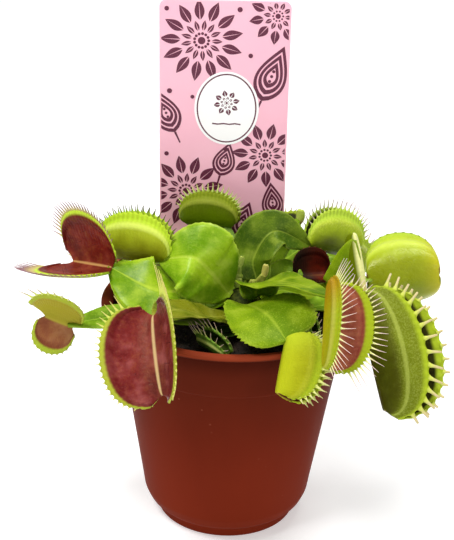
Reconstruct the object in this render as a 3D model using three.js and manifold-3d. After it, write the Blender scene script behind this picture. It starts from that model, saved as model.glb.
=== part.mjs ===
// A potted Venus flytrap: a round plastic nursery pot filled with peat, a rosette of leaves that each end in
// a toothed two-lobed trap, and a plain card label pushed into the peat behind the plant.
// Millimetres, +Z up. The origin is the middle of the pot's base, and the front of the plant faces -Y.

import * as THREE from 'three';
import { mergeVertices } from 'three/addons/utils/BufferGeometryUtils.js';
import Module from 'manifold-3d';

const wasm = await Module();
wasm.setup();

// Driving dimensions
const GAP = 0.3; // clearance that touching pieces keep

const POT = {
  rimRadius: 45, // a nursery pot sold as 9 cm
  height: 81,
  lipHeight: 2.2,
  wall: 1.2,
  underLipRadius: 42, // rim band just below the lip
  bandRadius: 39, // rim band at its lower edge
  bandZ: 63.4,
  wallRadius: 38.1, // tapering wall just below the rim band
  shoulderRadius: 30.3, // tapering wall where the rounded bottom corner starts
  shoulderZ: 14,
  footRadius: 24.6,
  footHeight: 3.2,
  cornerInset: 2.2, // how far the rounded bottom corner draws in above the foot
  padRadius: 9, // flat pad in the middle of the base, level with the foot
  grooveRadius: 20, // drainage groove between the pad and the foot
  grooveZ: 1.6,
  floorZ: 3.2, // inside floor
  edge: 0.7, // small slopes and softened edges
  drainCount: 6,
  drainRadius: 2.8,
  drainCircle: 14.5,
  sides: 36,
};

const SOIL = { edgeZ: 70, mound: 3, lump: 0.8, sides: 28 };

const CROWN = { centre: [4, 3, 76.5], radius: 7, stubRadius: 4.5, stubBottomZ: 58, sides: 14 };

const LABEL = {
  centreX: -3.9, y: 33.5, width: 45, thickness: 0.7, topZ: 177, corner: 2.5,
  shoulderZ: 88, stakeWidth: 14, stakeZ: 76, pointLength: 12, tipZ: 42,
  lean: 0.6, // the top leans towards -X, in degrees
};

// A blade starts as a short straight stalk and runs a little way into its trap
const BLADE = { thickness: 0.8, stem: 1.5, baseHalf: 1.5, neckHalf: 0.9, stalk: 3, intoTrap: 1.5 };
// The lobes reach past the midrib's ends by overhang, a share of its length; hook turns the teeth inwards. A trap
// with its own overhang, endWidth or hook keeps that, and bow curves its midrib towards the opening
const TRAP = {
  thickness: 0.9, overhang: 0.16, endWidth: 0.2,
  toothRadius: 0.42, toothSunk: 0.7, shortTooth: 0.6, hook: 0.2,
};

// Faces along and across each blade and trap: front leaves, those inside and behind, and young ones
const FINE = { blade: [8, 4], trap: [7, 6] };
const PLAIN = { blade: [6, 4], trap: [6, 6] };
const TINY = { blade: [4, 2], trap: [4, 4] };
const DETAIL = {
  inner_right: PLAIN, inner_front: PLAIN, inner_low: PLAIN, rear_left: PLAIN, rear_left_low: PLAIN,
  rear_centre: PLAIN, rear_right: PLAIN, young_left: TINY, young_right: TINY, bud: TINY,
};

// Each leaf springs from the crown at root = [compass angle, height angle] in degrees, and its blade runs
// through the listed points to the neck, where the trap's midrib starts and goes on to tip. The lobes open
// towards open.
const LEAVES = {
  upper_left: {
    root: [198, 24], blade: [[-11.1, 1, 82.5], [-25.7, -13.1, 89.2], [-40.8, -6.5, 93.9]],
    width: 9.5, widest: 0.66, face: [0, -0.6, 0.8], fold: 0.1, wave: 0.9, waves: 2.4, ears: 3,
    trap: {
      tip: [-54.8, 3.6, 91.4], open: [-0.78, -0.24, 0.57], gape: 66,
      width: 20.5, bulge: 1.5, teeth: 10, tooth: 8,
    },
  },
  back_left: {
    root: [201, 47], blade: [[-7.2, -3.8, 91.8], [-13.8, -5.5, 98.1], [-23.9, -0.1, 94.3]],
    width: 12.5, widest: 0.6, face: [0, -0.8, 0.6], fold: 0.12, wave: 1, waves: 2.2, ears: 3,
    trap: {
      tip: [-43.8, 6.5, 93], open: [0.04, 0.25, 0.97], gape: 10,
      width: 16, bulge: 4, teeth: 9, tooth: 2.8,
    },
  },
  back_centre: {
    root: [111, 51], blade: [[0.4, 12, 88.8], [-1.8, 16.8, 94.2], [-0.8, 20.2, 99.7]],
    width: 3.2, widest: 0.6, face: [0, -1, 0.1], fold: 0.2, wave: 0.3, waves: 1.5, ears: 0,
    trap: {
      tip: [-16.8, 24.4, 98.9], open: [0.02, 0.19, 0.98], gape: 10,
      width: 12, bulge: 3, teeth: 8, tooth: 3,
    },
  },
  back_right: {
    root: [41, 54], blade: [[7.3, 10, 92], [14.3, 13.2, 101], [26.8, 16.2, 94.4]],
    width: 7.4, widest: 0.56, face: [-0.35, -0.72, 0.6], fold: 0.42, wave: 0.8, waves: 2.2, ears: 2,
    trap: {
      tip: [42, 24.6, 88.2], open: [0.12, 0.26, 0.95], gape: 9,
      width: 15.5, bulge: 3.5, teeth: 9, tooth: 5,
    },
  },
  right_slim: {
    root: [356, 35], blade: [[17, 1.7, 83.8], [36.4, -1.3, 82.4], [40.4, 1, 105.6]],
    width: 3.4, widest: 0.78, face: [0, -0.7, 0.7], fold: 0.2, wave: 0.6, waves: 2, ears: 1,
    trap: {
      tip: [44.6, -5.5, 86.6], open: [-0.25, 0.88, -0.4], gape: 10,
      width: 6.5, bulge: 1.7, teeth: 6, tooth: 2.5, overhang: 0.02, endWidth: 0.1,
    },
  },
  right_back: {
    root: [9, -10], blade: [[19.8, 9.9, 81.5], [36.8, 15, 82.3], [48.1, 15.8, 82.5]],
    width: 5, widest: 0.6, face: [0, 0, 1], fold: 0.2, wave: 0.6, waves: 2, ears: 1,
    trap: {
      tip: [73.2, 15.8, 85.5], open: [0.03, 0.98, -0.17], gape: 72,
      width: 20, bulge: 5, teeth: 8, tooth: 4, overhang: 0, endWidth: 0.15, hook: 1.6,
    },
  },
  right_low: {
    root: [341, 11], blade: [[20, -9.1, 81.5], [32.4, -13.8, 85.6], [42.8, -14, 87]],
    width: 5, widest: 0.6, face: [0, 0, 1], fold: 0.2, wave: 0.6, waves: 2, ears: 1,
    trap: {
      tip: [51, -38, 60], open: [0.96, 0, 0.3], gape: 12,
      width: 18, bulge: 4.5, teeth: 12, tooth: 5.5, overhang: 0.1, endWidth: 0.35,
    },
  },
  front_right: {
    root: [306, 46], blade: [[9.5, -7.2, 90.1], [19, -21.9, 97.1], [30.3, -39.3, 102.3]],
    width: 7, widest: 0.55, face: [0.1, -0.2, 1], fold: 0.1, wave: 1, waves: 2.5, ears: 1,
    trap: {
      tip: [29.3, -53.3, 85.1], open: [0.75, -0.51, 0.42], gape: 66,
      width: 14, bulge: 2, teeth: 12, tooth: 6,
    },
  },
  front: {
    root: [279, 21], blade: [[5.7, -14.3, 85.2], [11.9, -30, 88.7], [18, -39.9, 86.1]],
    width: 12, widest: 0.64, face: [0, -0.5, 0.87], fold: 0.08, wave: 0.7, waves: 2.5, ears: 5,
    trap: {
      tip: [14.9, -53.2, 73.4], open: [0.96, -0.24, 0.05], gape: 14,
      width: 13.5, bulge: 2.4, teeth: 10, tooth: 4.5, overhang: 0.1, endWidth: 0.4,
    },
  },
  front_left: {
    root: [242, 3], blade: [[-7.3, -15.6, 80.9], [-17.2, -30.3, 90.1], [-24.2, -47.2, 95.6]],
    width: 7, widest: 0.62, face: [0, -0.3, 1], fold: 0.15, wave: 0.9, waves: 2.4, ears: 2,
    trap: {
      tip: [-20.4, -64.7, 78], open: [-0.54, -0.64, 0.55], gape: 96,
      width: 17.5, bulge: 2, teeth: 12, tooth: 5, bow: 1.4,
    },
  },
  left_small: {
    root: [205, -7], blade: [[-12.8, -9.5, 77.1], [-32.6, -22.5, 83.8], [-52.2, -26.8, 81.4]],
    width: 5, widest: 0.75, face: [0, -0.3, 1], fold: 0.2, wave: 0.6, waves: 2, ears: 1,
    trap: {
      tip: [-60.6, -27.8, 85.4], open: [-0.2, -0.95, 0], gape: 124,
      width: 10.5, bulge: 1.5, teeth: 7, tooth: 4, overhang: 0.25,
    },
  },
  inner_right: {
    root: [17, 21], blade: [[13.4, 5.8, 79.4], [18, 8.8, 87.3], [23, 6.6, 86.9]],
    width: 4.5, widest: 0.6, face: [0, -0.6, 0.8], fold: 0.2, wave: 0.5, waves: 2, ears: 1,
    trap: {
      tip: [33, 10.1, 86.4], open: [0.2, -0.4, 0.9], gape: 95,
      width: 9.5, bulge: 1.5, teeth: 6, tooth: 4,
    },
  },
  inner_front: {
    root: [262, -14], blade: [[0.9, -12, 74.5], [-4, -18, 75.2], [-8, -23.7, 75.1]],
    width: 3, widest: 0.6, face: [0, 0, 1], fold: 0.2, wave: 0.3, waves: 1.5, ears: 0,
    trap: {
      tip: [-1, -33.7, 76.1], open: [-0.25, -0.3, 0.9], gape: 16,
      width: 7, bulge: 2, teeth: 7, tooth: 3.5,
    },
  },
  inner_low: {
    root: [313, -2], blade: [[10.7, -10.6, 77.5], [16.8, -22, 79.7], [21.7, -23.5, 81.3]],
    width: 5.5, widest: 0.6, face: [0, -0.4, 0.9], fold: 0.15, wave: 0.5, waves: 2, ears: 1,
    trap: {
      tip: [26.2, -31.5, 81.3], open: [0.1, 0.1, 1], gape: 16,
      width: 7, bulge: 2, teeth: 5, tooth: 3,
    },
  },
  young_left: {
    root: [145, 74], blade: [[2.1, 5.9, 86.2], [1.6, 5.6, 87.5], [1.6, 4.9, 90]],
    width: 0.6, widest: 0.6, face: [0, -1, 0], fold: 0, wave: 0, waves: 1, ears: 0,
    trap: {
      tip: [2.8, 5.1, 94.5], open: [0.5, 0.9, 0], gape: 4,
      width: 2.4, bulge: 0.6, teeth: 3, tooth: 1.2,
    },
  },
  young_right: {
    root: [345, 70], blade: [[8, 1, 85.5], [9.2, 0, 87.3], [10.4, -0.5, 89]],
    width: 0.8, widest: 0.6, face: [0, -1, 0], fold: 0, wave: 0, waves: 1, ears: 0,
    trap: {
      tip: [11, -0.5, 94], open: [0.3, 0.95, 0], gape: 4,
      width: 3, bulge: 0.8, teeth: 3, tooth: 1.5,
    },
  },
  bud: {
    root: [70, 26], blade: [[10, 13, 84], [17, 18.5, 93], [22.6, 22.3, 100.6]],
    width: 2.5, widest: 0.6, face: [-0.3, -0.9, 0.3], fold: 0.2, wave: 0.3, waves: 1.5, ears: 0,
    trap: {
      tip: [22.8, 22.5, 105.6], open: [0.5, 0.85, 0], gape: 6,
      width: 3.4, bulge: 1.1, teeth: 4, tooth: 1.6,
    },
  },
  rear_left: {
    root: [168, 0], blade: [[-13, 6, 78.5], [-29, 13, 83.5], [-41, 21, 84.5]],
    width: 6, widest: 0.62, face: [0, 0, 1], fold: 0.15, wave: 0.7, waves: 2.2, ears: 2,
    trap: {
      tip: [-51, 31, 78], open: [-0.5, 0.2, 0.85], gape: 70,
      width: 11, bulge: 1.5, teeth: 6, tooth: 4.5,
    },
  },
  rear_left_low: {
    root: [129, -1], blade: [[-8.6, 16.4, 76.3], [-28.8, 29.5, 83.4], [-36.9, 37.6, 84.1]],
    width: 6, widest: 0.6, face: [0, 0, 1], fold: 0.15, wave: 0.7, waves: 2.2, ears: 2,
    trap: {
      tip: [-41.9, 47.6, 72.1], open: [-0.2, 0.8, 0.6], gape: 16,
      width: 12, bulge: 3, teeth: 6, tooth: 4,
    },
  },
  rear_centre: {
    root: [86, 8], blade: [[10, 19, 81.5], [26, 32, 88.5], [22, 45, 88]],
    width: 5.5, widest: 0.5, face: [0, 0, 1], fold: 0.15, wave: 0.7, waves: 2.2, ears: 2,
    trap: {
      tip: [11, 56, 79], open: [-0.3, 0.5, 0.8], gape: 75,
      width: 12, bulge: 1.5, teeth: 6, tooth: 4.5,
    },
  },
  rear_right: {
    root: [53, -6], blade: [[16.8, 15.5, 77], [29.1, 28.3, 83.5], [37.9, 36.4, 83.3]],
    width: 6, widest: 0.6, face: [0, 0, 1], fold: 0.15, wave: 0.7, waves: 2.2, ears: 2,
    trap: {
      tip: [45.9, 44.4, 72.3], open: [0.5, 0.4, 0.75], gape: 18,
      width: 12, bulge: 3, teeth: 6, tooth: 4,
    },
  },
};

// Geometry helpers

// Wraps a closed three.js geometry as a solid that can be joined and cut, with its faces turned outwards
function solid(geometry, matrix) {
  const shape = geometry.clone();
  for (const name of Object.keys(shape.attributes)) {
    if (name !== 'position') shape.deleteAttribute(name);
  }
  const merged = mergeVertices(shape, 1e-4);
  if (matrix) merged.applyMatrix4(matrix);
  const corner = (i) => new THREE.Vector3().fromBufferAttribute(merged.attributes.position, i);
  const triangles = [];
  let volume = 0;
  for (let i = 0; i < merged.index.count; i += 3) {
    const [a, b, c] = [0, 1, 2].map((k) => merged.index.getX(i + k));
    if (a === b || b === c || c === a) continue;
    triangles.push([a, b, c]);
    volume += corner(a).dot(corner(b).cross(corner(c)));
  }
  if (volume < 0) triangles.forEach((triangle) => triangle.reverse());
  return new wasm.Manifold(new wasm.Mesh({
    numProp: 3,
    vertProperties: new Float32Array(merged.attributes.position.array),
    triVerts: new Uint32Array(triangles.flat()),
  }));
}

function join(solids) {
  return solids.reduce((whole, piece) => whole.add(piece));
}

function geometryOf(manifold) {
  const mesh = manifold.getMesh();
  const geometry = new THREE.BufferGeometry();
  geometry.setAttribute('position', new THREE.BufferAttribute(new Float32Array(mesh.vertProperties), 3));
  geometry.setIndex(Array.from(mesh.triVerts));
  return geometry;
}

const vector = (xyz) => new THREE.Vector3(...xyz);
const degrees = THREE.MathUtils.degToRad;
const mix = THREE.MathUtils.lerp;

// A closed thin sheet over a grid of points: point(i, j) with i along the rows and j across, thickness(i, j)
function sheet(rows, columns, point, thickness) {
  const grid = [];
  for (let i = 0; i <= rows; i += 1) {
    grid.push(Array.from({ length: columns + 1 }, (_, j) => point(i / rows, j / columns)));
  }
  const along = new THREE.Vector3();
  const across = new THREE.Vector3();
  const positions = [];
  for (const face of [0.5, -0.5]) {
    for (let i = 0; i <= rows; i += 1) {
      for (let j = 0; j <= columns; j += 1) {
        along.subVectors(grid[Math.min(i + 1, rows)][j], grid[Math.max(i - 1, 0)][j]);
        across.subVectors(grid[i][Math.min(j + 1, columns)], grid[i][Math.max(j - 1, 0)]);
        const normal = along.cross(across).normalize();
        const offset = normal.multiplyScalar(face * thickness(i / rows, j / columns));
        positions.push(...grid[i][j].clone().add(offset).toArray());
      }
    }
  }
  const top = (i, j) => i * (columns + 1) + j;
  const bottom = (i, j) => top(i, j) + (rows + 1) * (columns + 1);
  const index = [];
  for (let i = 0; i < rows; i += 1) {
    for (let j = 0; j < columns; j += 1) {
      for (const side of [top, bottom]) {
        const [a, b, c, d] = [side(i, j), side(i + 1, j), side(i + 1, j + 1), side(i, j + 1)];
        index.push(...(side === top ? [a, b, c, a, c, d] : [a, c, b, a, d, c]));
      }
    }
  }
  const rim = [];
  for (let j = 0; j < columns; j += 1) rim.push([0, j]);
  for (let i = 0; i < rows; i += 1) rim.push([i, columns]);
  for (let j = columns; j > 0; j -= 1) rim.push([rows, j]);
  for (let i = rows; i > 0; i -= 1) rim.push([i, 0]);
  rim.forEach((here, k) => {
    const next = rim[(k + 1) % rim.length];
    index.push(top(...here), top(...next), bottom(...next), top(...here), bottom(...next), bottom(...here));
  });
  const geometry = new THREE.BufferGeometry();
  geometry.setAttribute('position', new THREE.Float32BufferAttribute(positions, 3));
  geometry.setIndex(index);
  return solid(geometry);
}

// A three-sided tooth from foot to point
function tooth(foot, point, radius) {
  const axis = point.clone().sub(foot);
  const cone = new THREE.ConeGeometry(radius, axis.length(), 3, 1);
  const upwards = new THREE.Vector3(0, 1, 0);
  const turn = new THREE.Quaternion().setFromUnitVectors(upwards, axis.clone().normalize());
  const middle = foot.clone().add(point).multiplyScalar(0.5);
  return solid(cone, new THREE.Matrix4().compose(middle, turn, new THREE.Vector3(1, 1, 1)));
}

// The pot

function makePot() {
  const p = POT;
  const inside = (radius) => radius - p.wall;
  const lipZ = p.height - p.lipHeight;
  const profile = [
    [0, 0], [p.padRadius, 0], [p.padRadius + p.edge, p.grooveZ],
    [p.grooveRadius, p.grooveZ], [p.grooveRadius + p.edge, 0], [p.footRadius, 0],
    [p.footRadius + p.edge / 2, p.footHeight], [p.shoulderRadius - p.cornerInset, p.footHeight + 2.6],
    [p.shoulderRadius - p.edge, p.footHeight + 6], [p.shoulderRadius, p.shoulderZ],
    [p.wallRadius, p.bandZ - p.edge], [p.bandRadius, p.bandZ], [p.underLipRadius, lipZ - p.edge / 2],
    [p.rimRadius - p.edge, lipZ], [p.rimRadius, lipZ + p.edge], [p.rimRadius, p.height - p.edge],
    [p.rimRadius - p.edge, p.height], [p.underLipRadius + p.edge / 2, p.height],
    [inside(p.underLipRadius), p.height - p.wall], [inside(p.bandRadius), p.bandZ],
    [inside(p.shoulderRadius), p.shoulderZ], [inside(p.shoulderRadius) - p.cornerInset, p.floorZ + 4],
    [inside(p.footRadius), p.floorZ], [0, p.floorZ],
  ];
  const outline = profile.map(([radius, z]) => new THREE.Vector2(radius, z));
  const upright = new THREE.Matrix4().makeRotationX(Math.PI / 2);
  let pot = solid(new THREE.LatheGeometry(outline, p.sides), upright);
  for (let k = 0; k < p.drainCount; k += 1) {
    const angle = ((k + 0.5) / p.drainCount) * 2 * Math.PI;
    const drill = new THREE.CylinderGeometry(p.drainRadius, p.drainRadius, 4 * p.floorZ, 10);
    const middle = [p.drainCircle * Math.cos(angle), p.drainCircle * Math.sin(angle), 0];
    pot = pot.subtract(solid(drill, new THREE.Matrix4().makeTranslation(...middle).multiply(upright)));
  }
  return pot;
}

// The peat: a lumpy mound with a plain hole for the root and a slot for the label's stake

function wallRadiusInside(z) {
  const p = POT;
  const rise = (z - p.shoulderZ) / (p.bandZ - p.shoulderZ);
  const belowBand = mix(p.shoulderRadius, p.bandRadius, rise);
  const inBand = mix(p.bandRadius, p.underLipRadius, (z - p.bandZ) / (p.height - p.wall - p.bandZ));
  return (z < p.bandZ ? belowBand : inBand) - p.wall;
}

function soilTop(radius, angle, edgeRadius) {
  const s = SOIL;
  const broad = Math.sin(5 * angle + 0.45 * radius) * Math.cos(0.6 * radius);
  const lumps = broad + 0.6 * Math.sin(11 * angle - 0.9 * radius);
  const fade = 1 - (radius / edgeRadius) ** 6;
  return s.edgeZ + s.mound * (1 - (radius / edgeRadius) ** 2) + s.lump * lumps * fade;
}

function makeSoil() {
  const s = SOIL;
  const floorZ = POT.floorZ + GAP;
  const edge = wallRadiusInside(s.edgeZ) - GAP;
  const band = wallRadiusInside(POT.bandZ) - GAP;
  const shoulder = POT.shoulderRadius - POT.wall - GAP;
  const floor = POT.footRadius - POT.wall - GAP;
  const topRings = [0.2, 0.4, 0.6, 0.8, 1].map((part) => part * edge);
  const corner = [shoulder - POT.cornerInset, floorZ + 4];
  const sideRings = [[band, POT.bandZ], [shoulder, POT.shoulderZ], corner, [floor, floorZ]];
  const positions = [[0, 0, soilTop(0, 0, edge)]];
  const turnOf = (k) => (k / s.sides) * 2 * Math.PI;
  for (const radius of topRings) {
    for (let k = 0; k < s.sides; k += 1) {
      const angle = turnOf(k);
      positions.push([radius * Math.cos(angle), radius * Math.sin(angle), soilTop(radius, angle, edge)]);
    }
  }
  for (const [radius, z] of sideRings) {
    for (let k = 0; k < s.sides; k += 1) {
      positions.push([radius * Math.cos(turnOf(k)), radius * Math.sin(turnOf(k)), z]);
    }
  }
  positions.push([0, 0, floorZ]);
  const rings = topRings.length + sideRings.length;
  const at = (ring, k) => 1 + ring * s.sides + (k % s.sides);
  const index = [];
  for (let k = 0; k < s.sides; k += 1) {
    index.push(0, at(0, k), at(0, k + 1));
    for (let ring = 0; ring + 1 < rings; ring += 1) {
      const [a, b, c, d] = [at(ring, k), at(ring + 1, k), at(ring + 1, k + 1), at(ring, k + 1)];
      index.push(a, b, c, a, c, d);
    }
    index.push(positions.length - 1, at(rings - 1, k + 1), at(rings - 1, k));
  }
  const geometry = new THREE.BufferGeometry();
  geometry.setAttribute('position', new THREE.Float32BufferAttribute(positions.flat(), 3));
  geometry.setIndex(index);
  const c = CROWN;
  const holeDepth = 40;
  const rootHole = new THREE.CylinderGeometry(c.stubRadius + GAP, c.stubRadius + GAP, holeDepth, c.sides);
  const holeMiddleZ = c.stubBottomZ - GAP + holeDepth / 2;
  const rootPlace = new THREE.Matrix4().makeTranslation(c.centre[0], c.centre[1], holeMiddleZ);
  const upright = new THREE.Matrix4().makeRotationX(Math.PI / 2);
  const crownSeat = new THREE.SphereGeometry(c.radius + GAP, c.sides, 8);
  return solid(geometry)
    .subtract(solid(rootHole, rootPlace.multiply(upright)))
    .subtract(solid(crownSeat, new THREE.Matrix4().makeTranslation(...c.centre).multiply(upright)))
    .subtract(stakeSlot());
}

// The crown: the short pale rhizome that every leaf springs from, with its root stub down in the peat

function makeCrown() {
  const c = CROWN;
  const outline = [new THREE.Vector2(0, c.stubBottomZ), new THREE.Vector2(c.stubRadius, c.stubBottomZ)];
  const steps = 7;
  const lowest = -Math.acos(c.stubRadius / c.radius);
  for (let k = 0; k <= steps; k += 1) {
    const angle = mix(lowest, Math.PI / 2, k / steps);
    const radius = k === steps ? 0 : c.radius * Math.cos(angle);
    outline.push(new THREE.Vector2(radius, c.centre[2] + c.radius * Math.sin(angle)));
  }
  const upright = new THREE.Matrix4().makeRotationX(Math.PI / 2);
  const place = new THREE.Matrix4().makeTranslation(c.centre[0], c.centre[1], 0).multiply(upright);
  return solid(new THREE.LatheGeometry(outline, c.sides), place);
}

// The label: a stiff card with rounded corners that narrows to a pointed stake

function labelPlace() {
  const l = LABEL;
  const lean = new THREE.Matrix4().makeRotationY(-degrees(l.lean));
  const upright = new THREE.Matrix4().makeRotationX(Math.PI / 2);
  return new THREE.Matrix4().makeTranslation(l.centreX, l.y, l.tipZ).multiply(lean).multiply(upright);
}

function makeLabel() {
  const l = LABEL;
  const half = l.width / 2;
  const stake = l.stakeWidth / 2;
  const top = l.topZ - l.tipZ;
  const card = new THREE.Shape();
  card.moveTo(0, 0);
  card.lineTo(stake, l.pointLength);
  card.lineTo(stake, l.stakeZ - l.tipZ);
  card.lineTo(half, l.shoulderZ - l.tipZ);
  card.lineTo(half, top - l.corner);
  card.absarc(half - l.corner, top - l.corner, l.corner, 0, Math.PI / 2);
  card.absarc(-half + l.corner, top - l.corner, l.corner, Math.PI / 2, Math.PI);
  card.lineTo(-half, l.shoulderZ - l.tipZ);
  card.lineTo(-stake, l.stakeZ - l.tipZ);
  card.lineTo(-stake, l.pointLength);
  card.closePath();
  const flat = { depth: l.thickness, bevelEnabled: false, curveSegments: 5 };
  return solid(new THREE.ExtrudeGeometry(card, flat), labelPlace());
}

function stakeSlot() {
  const l = LABEL;
  const height = 60;
  const slot = new THREE.BoxGeometry(l.stakeWidth + 2 * GAP, height, l.thickness + 2 * GAP);
  slot.translate(0, height / 2 - 1, l.thickness / 2);
  return solid(slot, labelPlace());
}

// A leaf: a waved blade that ends in a trap

// The blade's line from the crown to just inside the trap
function spineOf(leaf) {
  const [turn, rise] = leaf.root.map(degrees);
  const level = Math.cos(rise);
  const out = new THREE.Vector3(level * Math.cos(turn), level * Math.sin(turn), Math.sin(rise));
  const start = vector(CROWN.centre).addScaledVector(out, CROWN.radius + GAP - 0.05);
  const stalkEnd = start.clone().addScaledVector(out, BLADE.stalk);
  const neck = vector(leaf.blade.at(-1));
  const inside = vector(leaf.trap.tip).sub(neck).normalize().multiplyScalar(BLADE.intoTrap).add(neck);
  const route = [start, stalkEnd, ...leaf.blade.slice(0, -1).map(vector), inside];
  return new THREE.CatmullRomCurve3(route, false, 'catmullrom');
}

function makeBlade(leaf, detail) {
  const spine = spineOf(leaf);
  const face = vector(leaf.face).normalize();
  const peak = Math.log(0.5) / Math.log(leaf.widest);
  const point = (t, across) => {
    const side = 2 * across - 1;
    const tangent = spine.getTangent(t);
    const up = face.clone().addScaledVector(tangent, -face.dot(tangent)).normalize();
    const right = tangent.clone().cross(up);
    const swell = Math.sin(Math.PI * t ** peak);
    const half = mix(BLADE.baseHalf, BLADE.neckHalf, t) + swell * leaf.width;
    const wave = leaf.wave * swell * side ** 2 * Math.sin(2 * Math.PI * leaf.waves * t + side);
    return spine.getPoint(t)
      .addScaledVector(right, half * side)
      .addScaledVector(up, leaf.fold * half * Math.abs(side) + wave)
      .addScaledVector(tangent, leaf.ears * side ** 2 * swell);
  };
  const thickness = (t) => mix(BLADE.stem, BLADE.thickness, Math.sin(Math.PI * t) ** 0.5);
  return sheet(...detail.blade, point, thickness);
}

// The trap's own directions and the surface of both lobes: turn runs 0 to 1 from neck to tip, across from the
// margin of one lobe over the midrib to the margin of the other
function trapSurface(leaf) {
  const trap = { ...TRAP, bow: 0, ...leaf.trap };
  const neck = vector(leaf.blade.at(-1));
  const tip = vector(trap.tip);
  const middle = neck.clone().add(tip).multiplyScalar(0.5);
  const length = neck.distanceTo(tip);
  const along = tip.clone().sub(neck).normalize();
  const open = vector(trap.open);
  open.addScaledVector(along, -open.dot(along)).normalize();
  const aside = along.clone().cross(open);
  const half = degrees(trap.gape / 2);
  const margin = (turn, sign) => {
    const angle = Math.PI * turn;
    const reach = mix(trap.endWidth, 1, Math.sin(angle) ** 0.7) * trap.width;
    return middle.clone()
      .addScaledVector(along, -(0.5 + trap.overhang) * length * Math.cos(angle))
      .addScaledVector(open, reach * Math.cos(half))
      .addScaledVector(aside, sign * (reach * Math.sin(half) + TRAP.thickness));
  };
  const outward = (sign) => {
    const sideways = aside.clone().multiplyScalar(sign * Math.cos(half));
    return sideways.addScaledVector(open, -Math.sin(half));
  };
  const surface = (turn, across) => {
    const sign = Math.sign(across - 0.5) || 1;
    const out = Math.abs(2 * across - 1);
    const hinge = neck.clone().lerp(tip, (1 - Math.cos(Math.PI * turn)) / 2);
    hinge.addScaledVector(open, trap.bow * Math.sin(Math.PI * turn));
    const fade = Math.sin(Math.PI * mix(0.06, 0.94, turn)) ** 0.5;
    const bulge = trap.bulge * Math.sin(Math.PI * out ** 0.65) * fade;
    return hinge.lerp(margin(turn, sign), out).addScaledVector(outward(sign), bulge);
  };
  return { surface, margin, outward, middle, hook: trap.hook };
}

function makeTrap(leaf, detail) {
  const { trap } = leaf;
  const { surface, margin, outward, middle, hook } = trapSurface(leaf);
  const solids = [sheet(...detail.trap, surface, () => TRAP.thickness)];
  for (const sign of [-1, 1]) {
    for (let k = 0; k < trap.teeth; k += 1) {
      const turn = mix(0.05, 0.95, (k + 0.25 + 0.5 * (sign > 0)) / trap.teeth);
      const root = margin(turn, sign);
      const away = root.clone().sub(middle).normalize();
      away.addScaledVector(outward(sign), -hook).normalize();
      const length = trap.tooth * mix(TRAP.shortTooth, 1, Math.sin(Math.PI * turn));
      const foot = root.clone().addScaledVector(away, -TRAP.toothSunk);
      solids.push(tooth(foot, root.clone().addScaledVector(away, length), TRAP.toothRadius));
    }
  }
  return join(solids);
}

// The whole object

const look = (color, roughness) => new THREE.MeshStandardMaterial({ color, roughness, metalness: 0 });

function named(name, manifold, material) {
  const mesh = new THREE.Mesh(geometryOf(manifold), material);
  mesh.name = name;
  return mesh;
}

const plant = new THREE.Group();
plant.add(
  named('pot', makePot(), look(0x7a3322, 0.45)),
  named('soil', makeSoil(), look(0x2a1f18, 0.95)),
  named('plant_label', makeLabel(), look(0xf3b9cd, 0.4)),
  named('crown', makeCrown(), look(0xc9cf9a, 0.6)),
);
for (const [name, leaf] of Object.entries(LEAVES)) {
  const detail = DETAIL[name] ?? FINE;
  const body = join([makeBlade(leaf, detail), makeTrap(leaf, detail)]);
  plant.add(named(`leaf_${name}`, body, look(0x8fbe1e, 0.45)));
}

export default plant;
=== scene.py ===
"""Dresses a potted Venus flytrap: the pot, the peat, the crown, the leaves with their traps and the label."""

import math
from types import SimpleNamespace

import bpy
import numpy as np
from mathutils import Matrix, Vector


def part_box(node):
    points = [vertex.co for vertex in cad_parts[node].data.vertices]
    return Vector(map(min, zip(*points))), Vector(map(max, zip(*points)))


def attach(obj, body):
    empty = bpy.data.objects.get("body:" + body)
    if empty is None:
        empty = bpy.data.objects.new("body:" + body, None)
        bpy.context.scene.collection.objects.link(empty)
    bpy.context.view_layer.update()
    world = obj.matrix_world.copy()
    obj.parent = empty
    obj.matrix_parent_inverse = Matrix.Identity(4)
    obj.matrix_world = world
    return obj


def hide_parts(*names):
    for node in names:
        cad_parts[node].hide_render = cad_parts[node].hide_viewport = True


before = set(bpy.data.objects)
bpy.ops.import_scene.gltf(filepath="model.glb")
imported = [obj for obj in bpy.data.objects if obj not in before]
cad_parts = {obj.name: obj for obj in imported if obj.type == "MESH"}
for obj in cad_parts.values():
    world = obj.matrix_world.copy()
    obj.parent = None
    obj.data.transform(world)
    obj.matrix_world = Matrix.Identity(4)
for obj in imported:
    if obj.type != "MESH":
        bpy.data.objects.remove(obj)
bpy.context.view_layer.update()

# The pot
# A thin nursery pot moulded in terracotta-coloured plastic, with a rolled lip, a rim band that ends in a
# small step and a foot ring. It stands on the floor and holds everything else.

MM = 0.001
POT_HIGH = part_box("pot")[1]
RIM_RADIUS, POT_HEIGHT = POT_HIGH[0], POT_HIGH[2]
WALL = 1.2
POT_SIDES = 144


def tint(red, green, blue):
    """A colour as it looks on a screen, 0 to 255, in the linear values that a shader takes."""
    shades = [c / 255 for c in (red, green, blue)]
    return tuple(c / 12.92 if c <= 0.04045 else ((c + 0.055) / 1.055) ** 2.4 for c in shades) + (1.0,)


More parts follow.
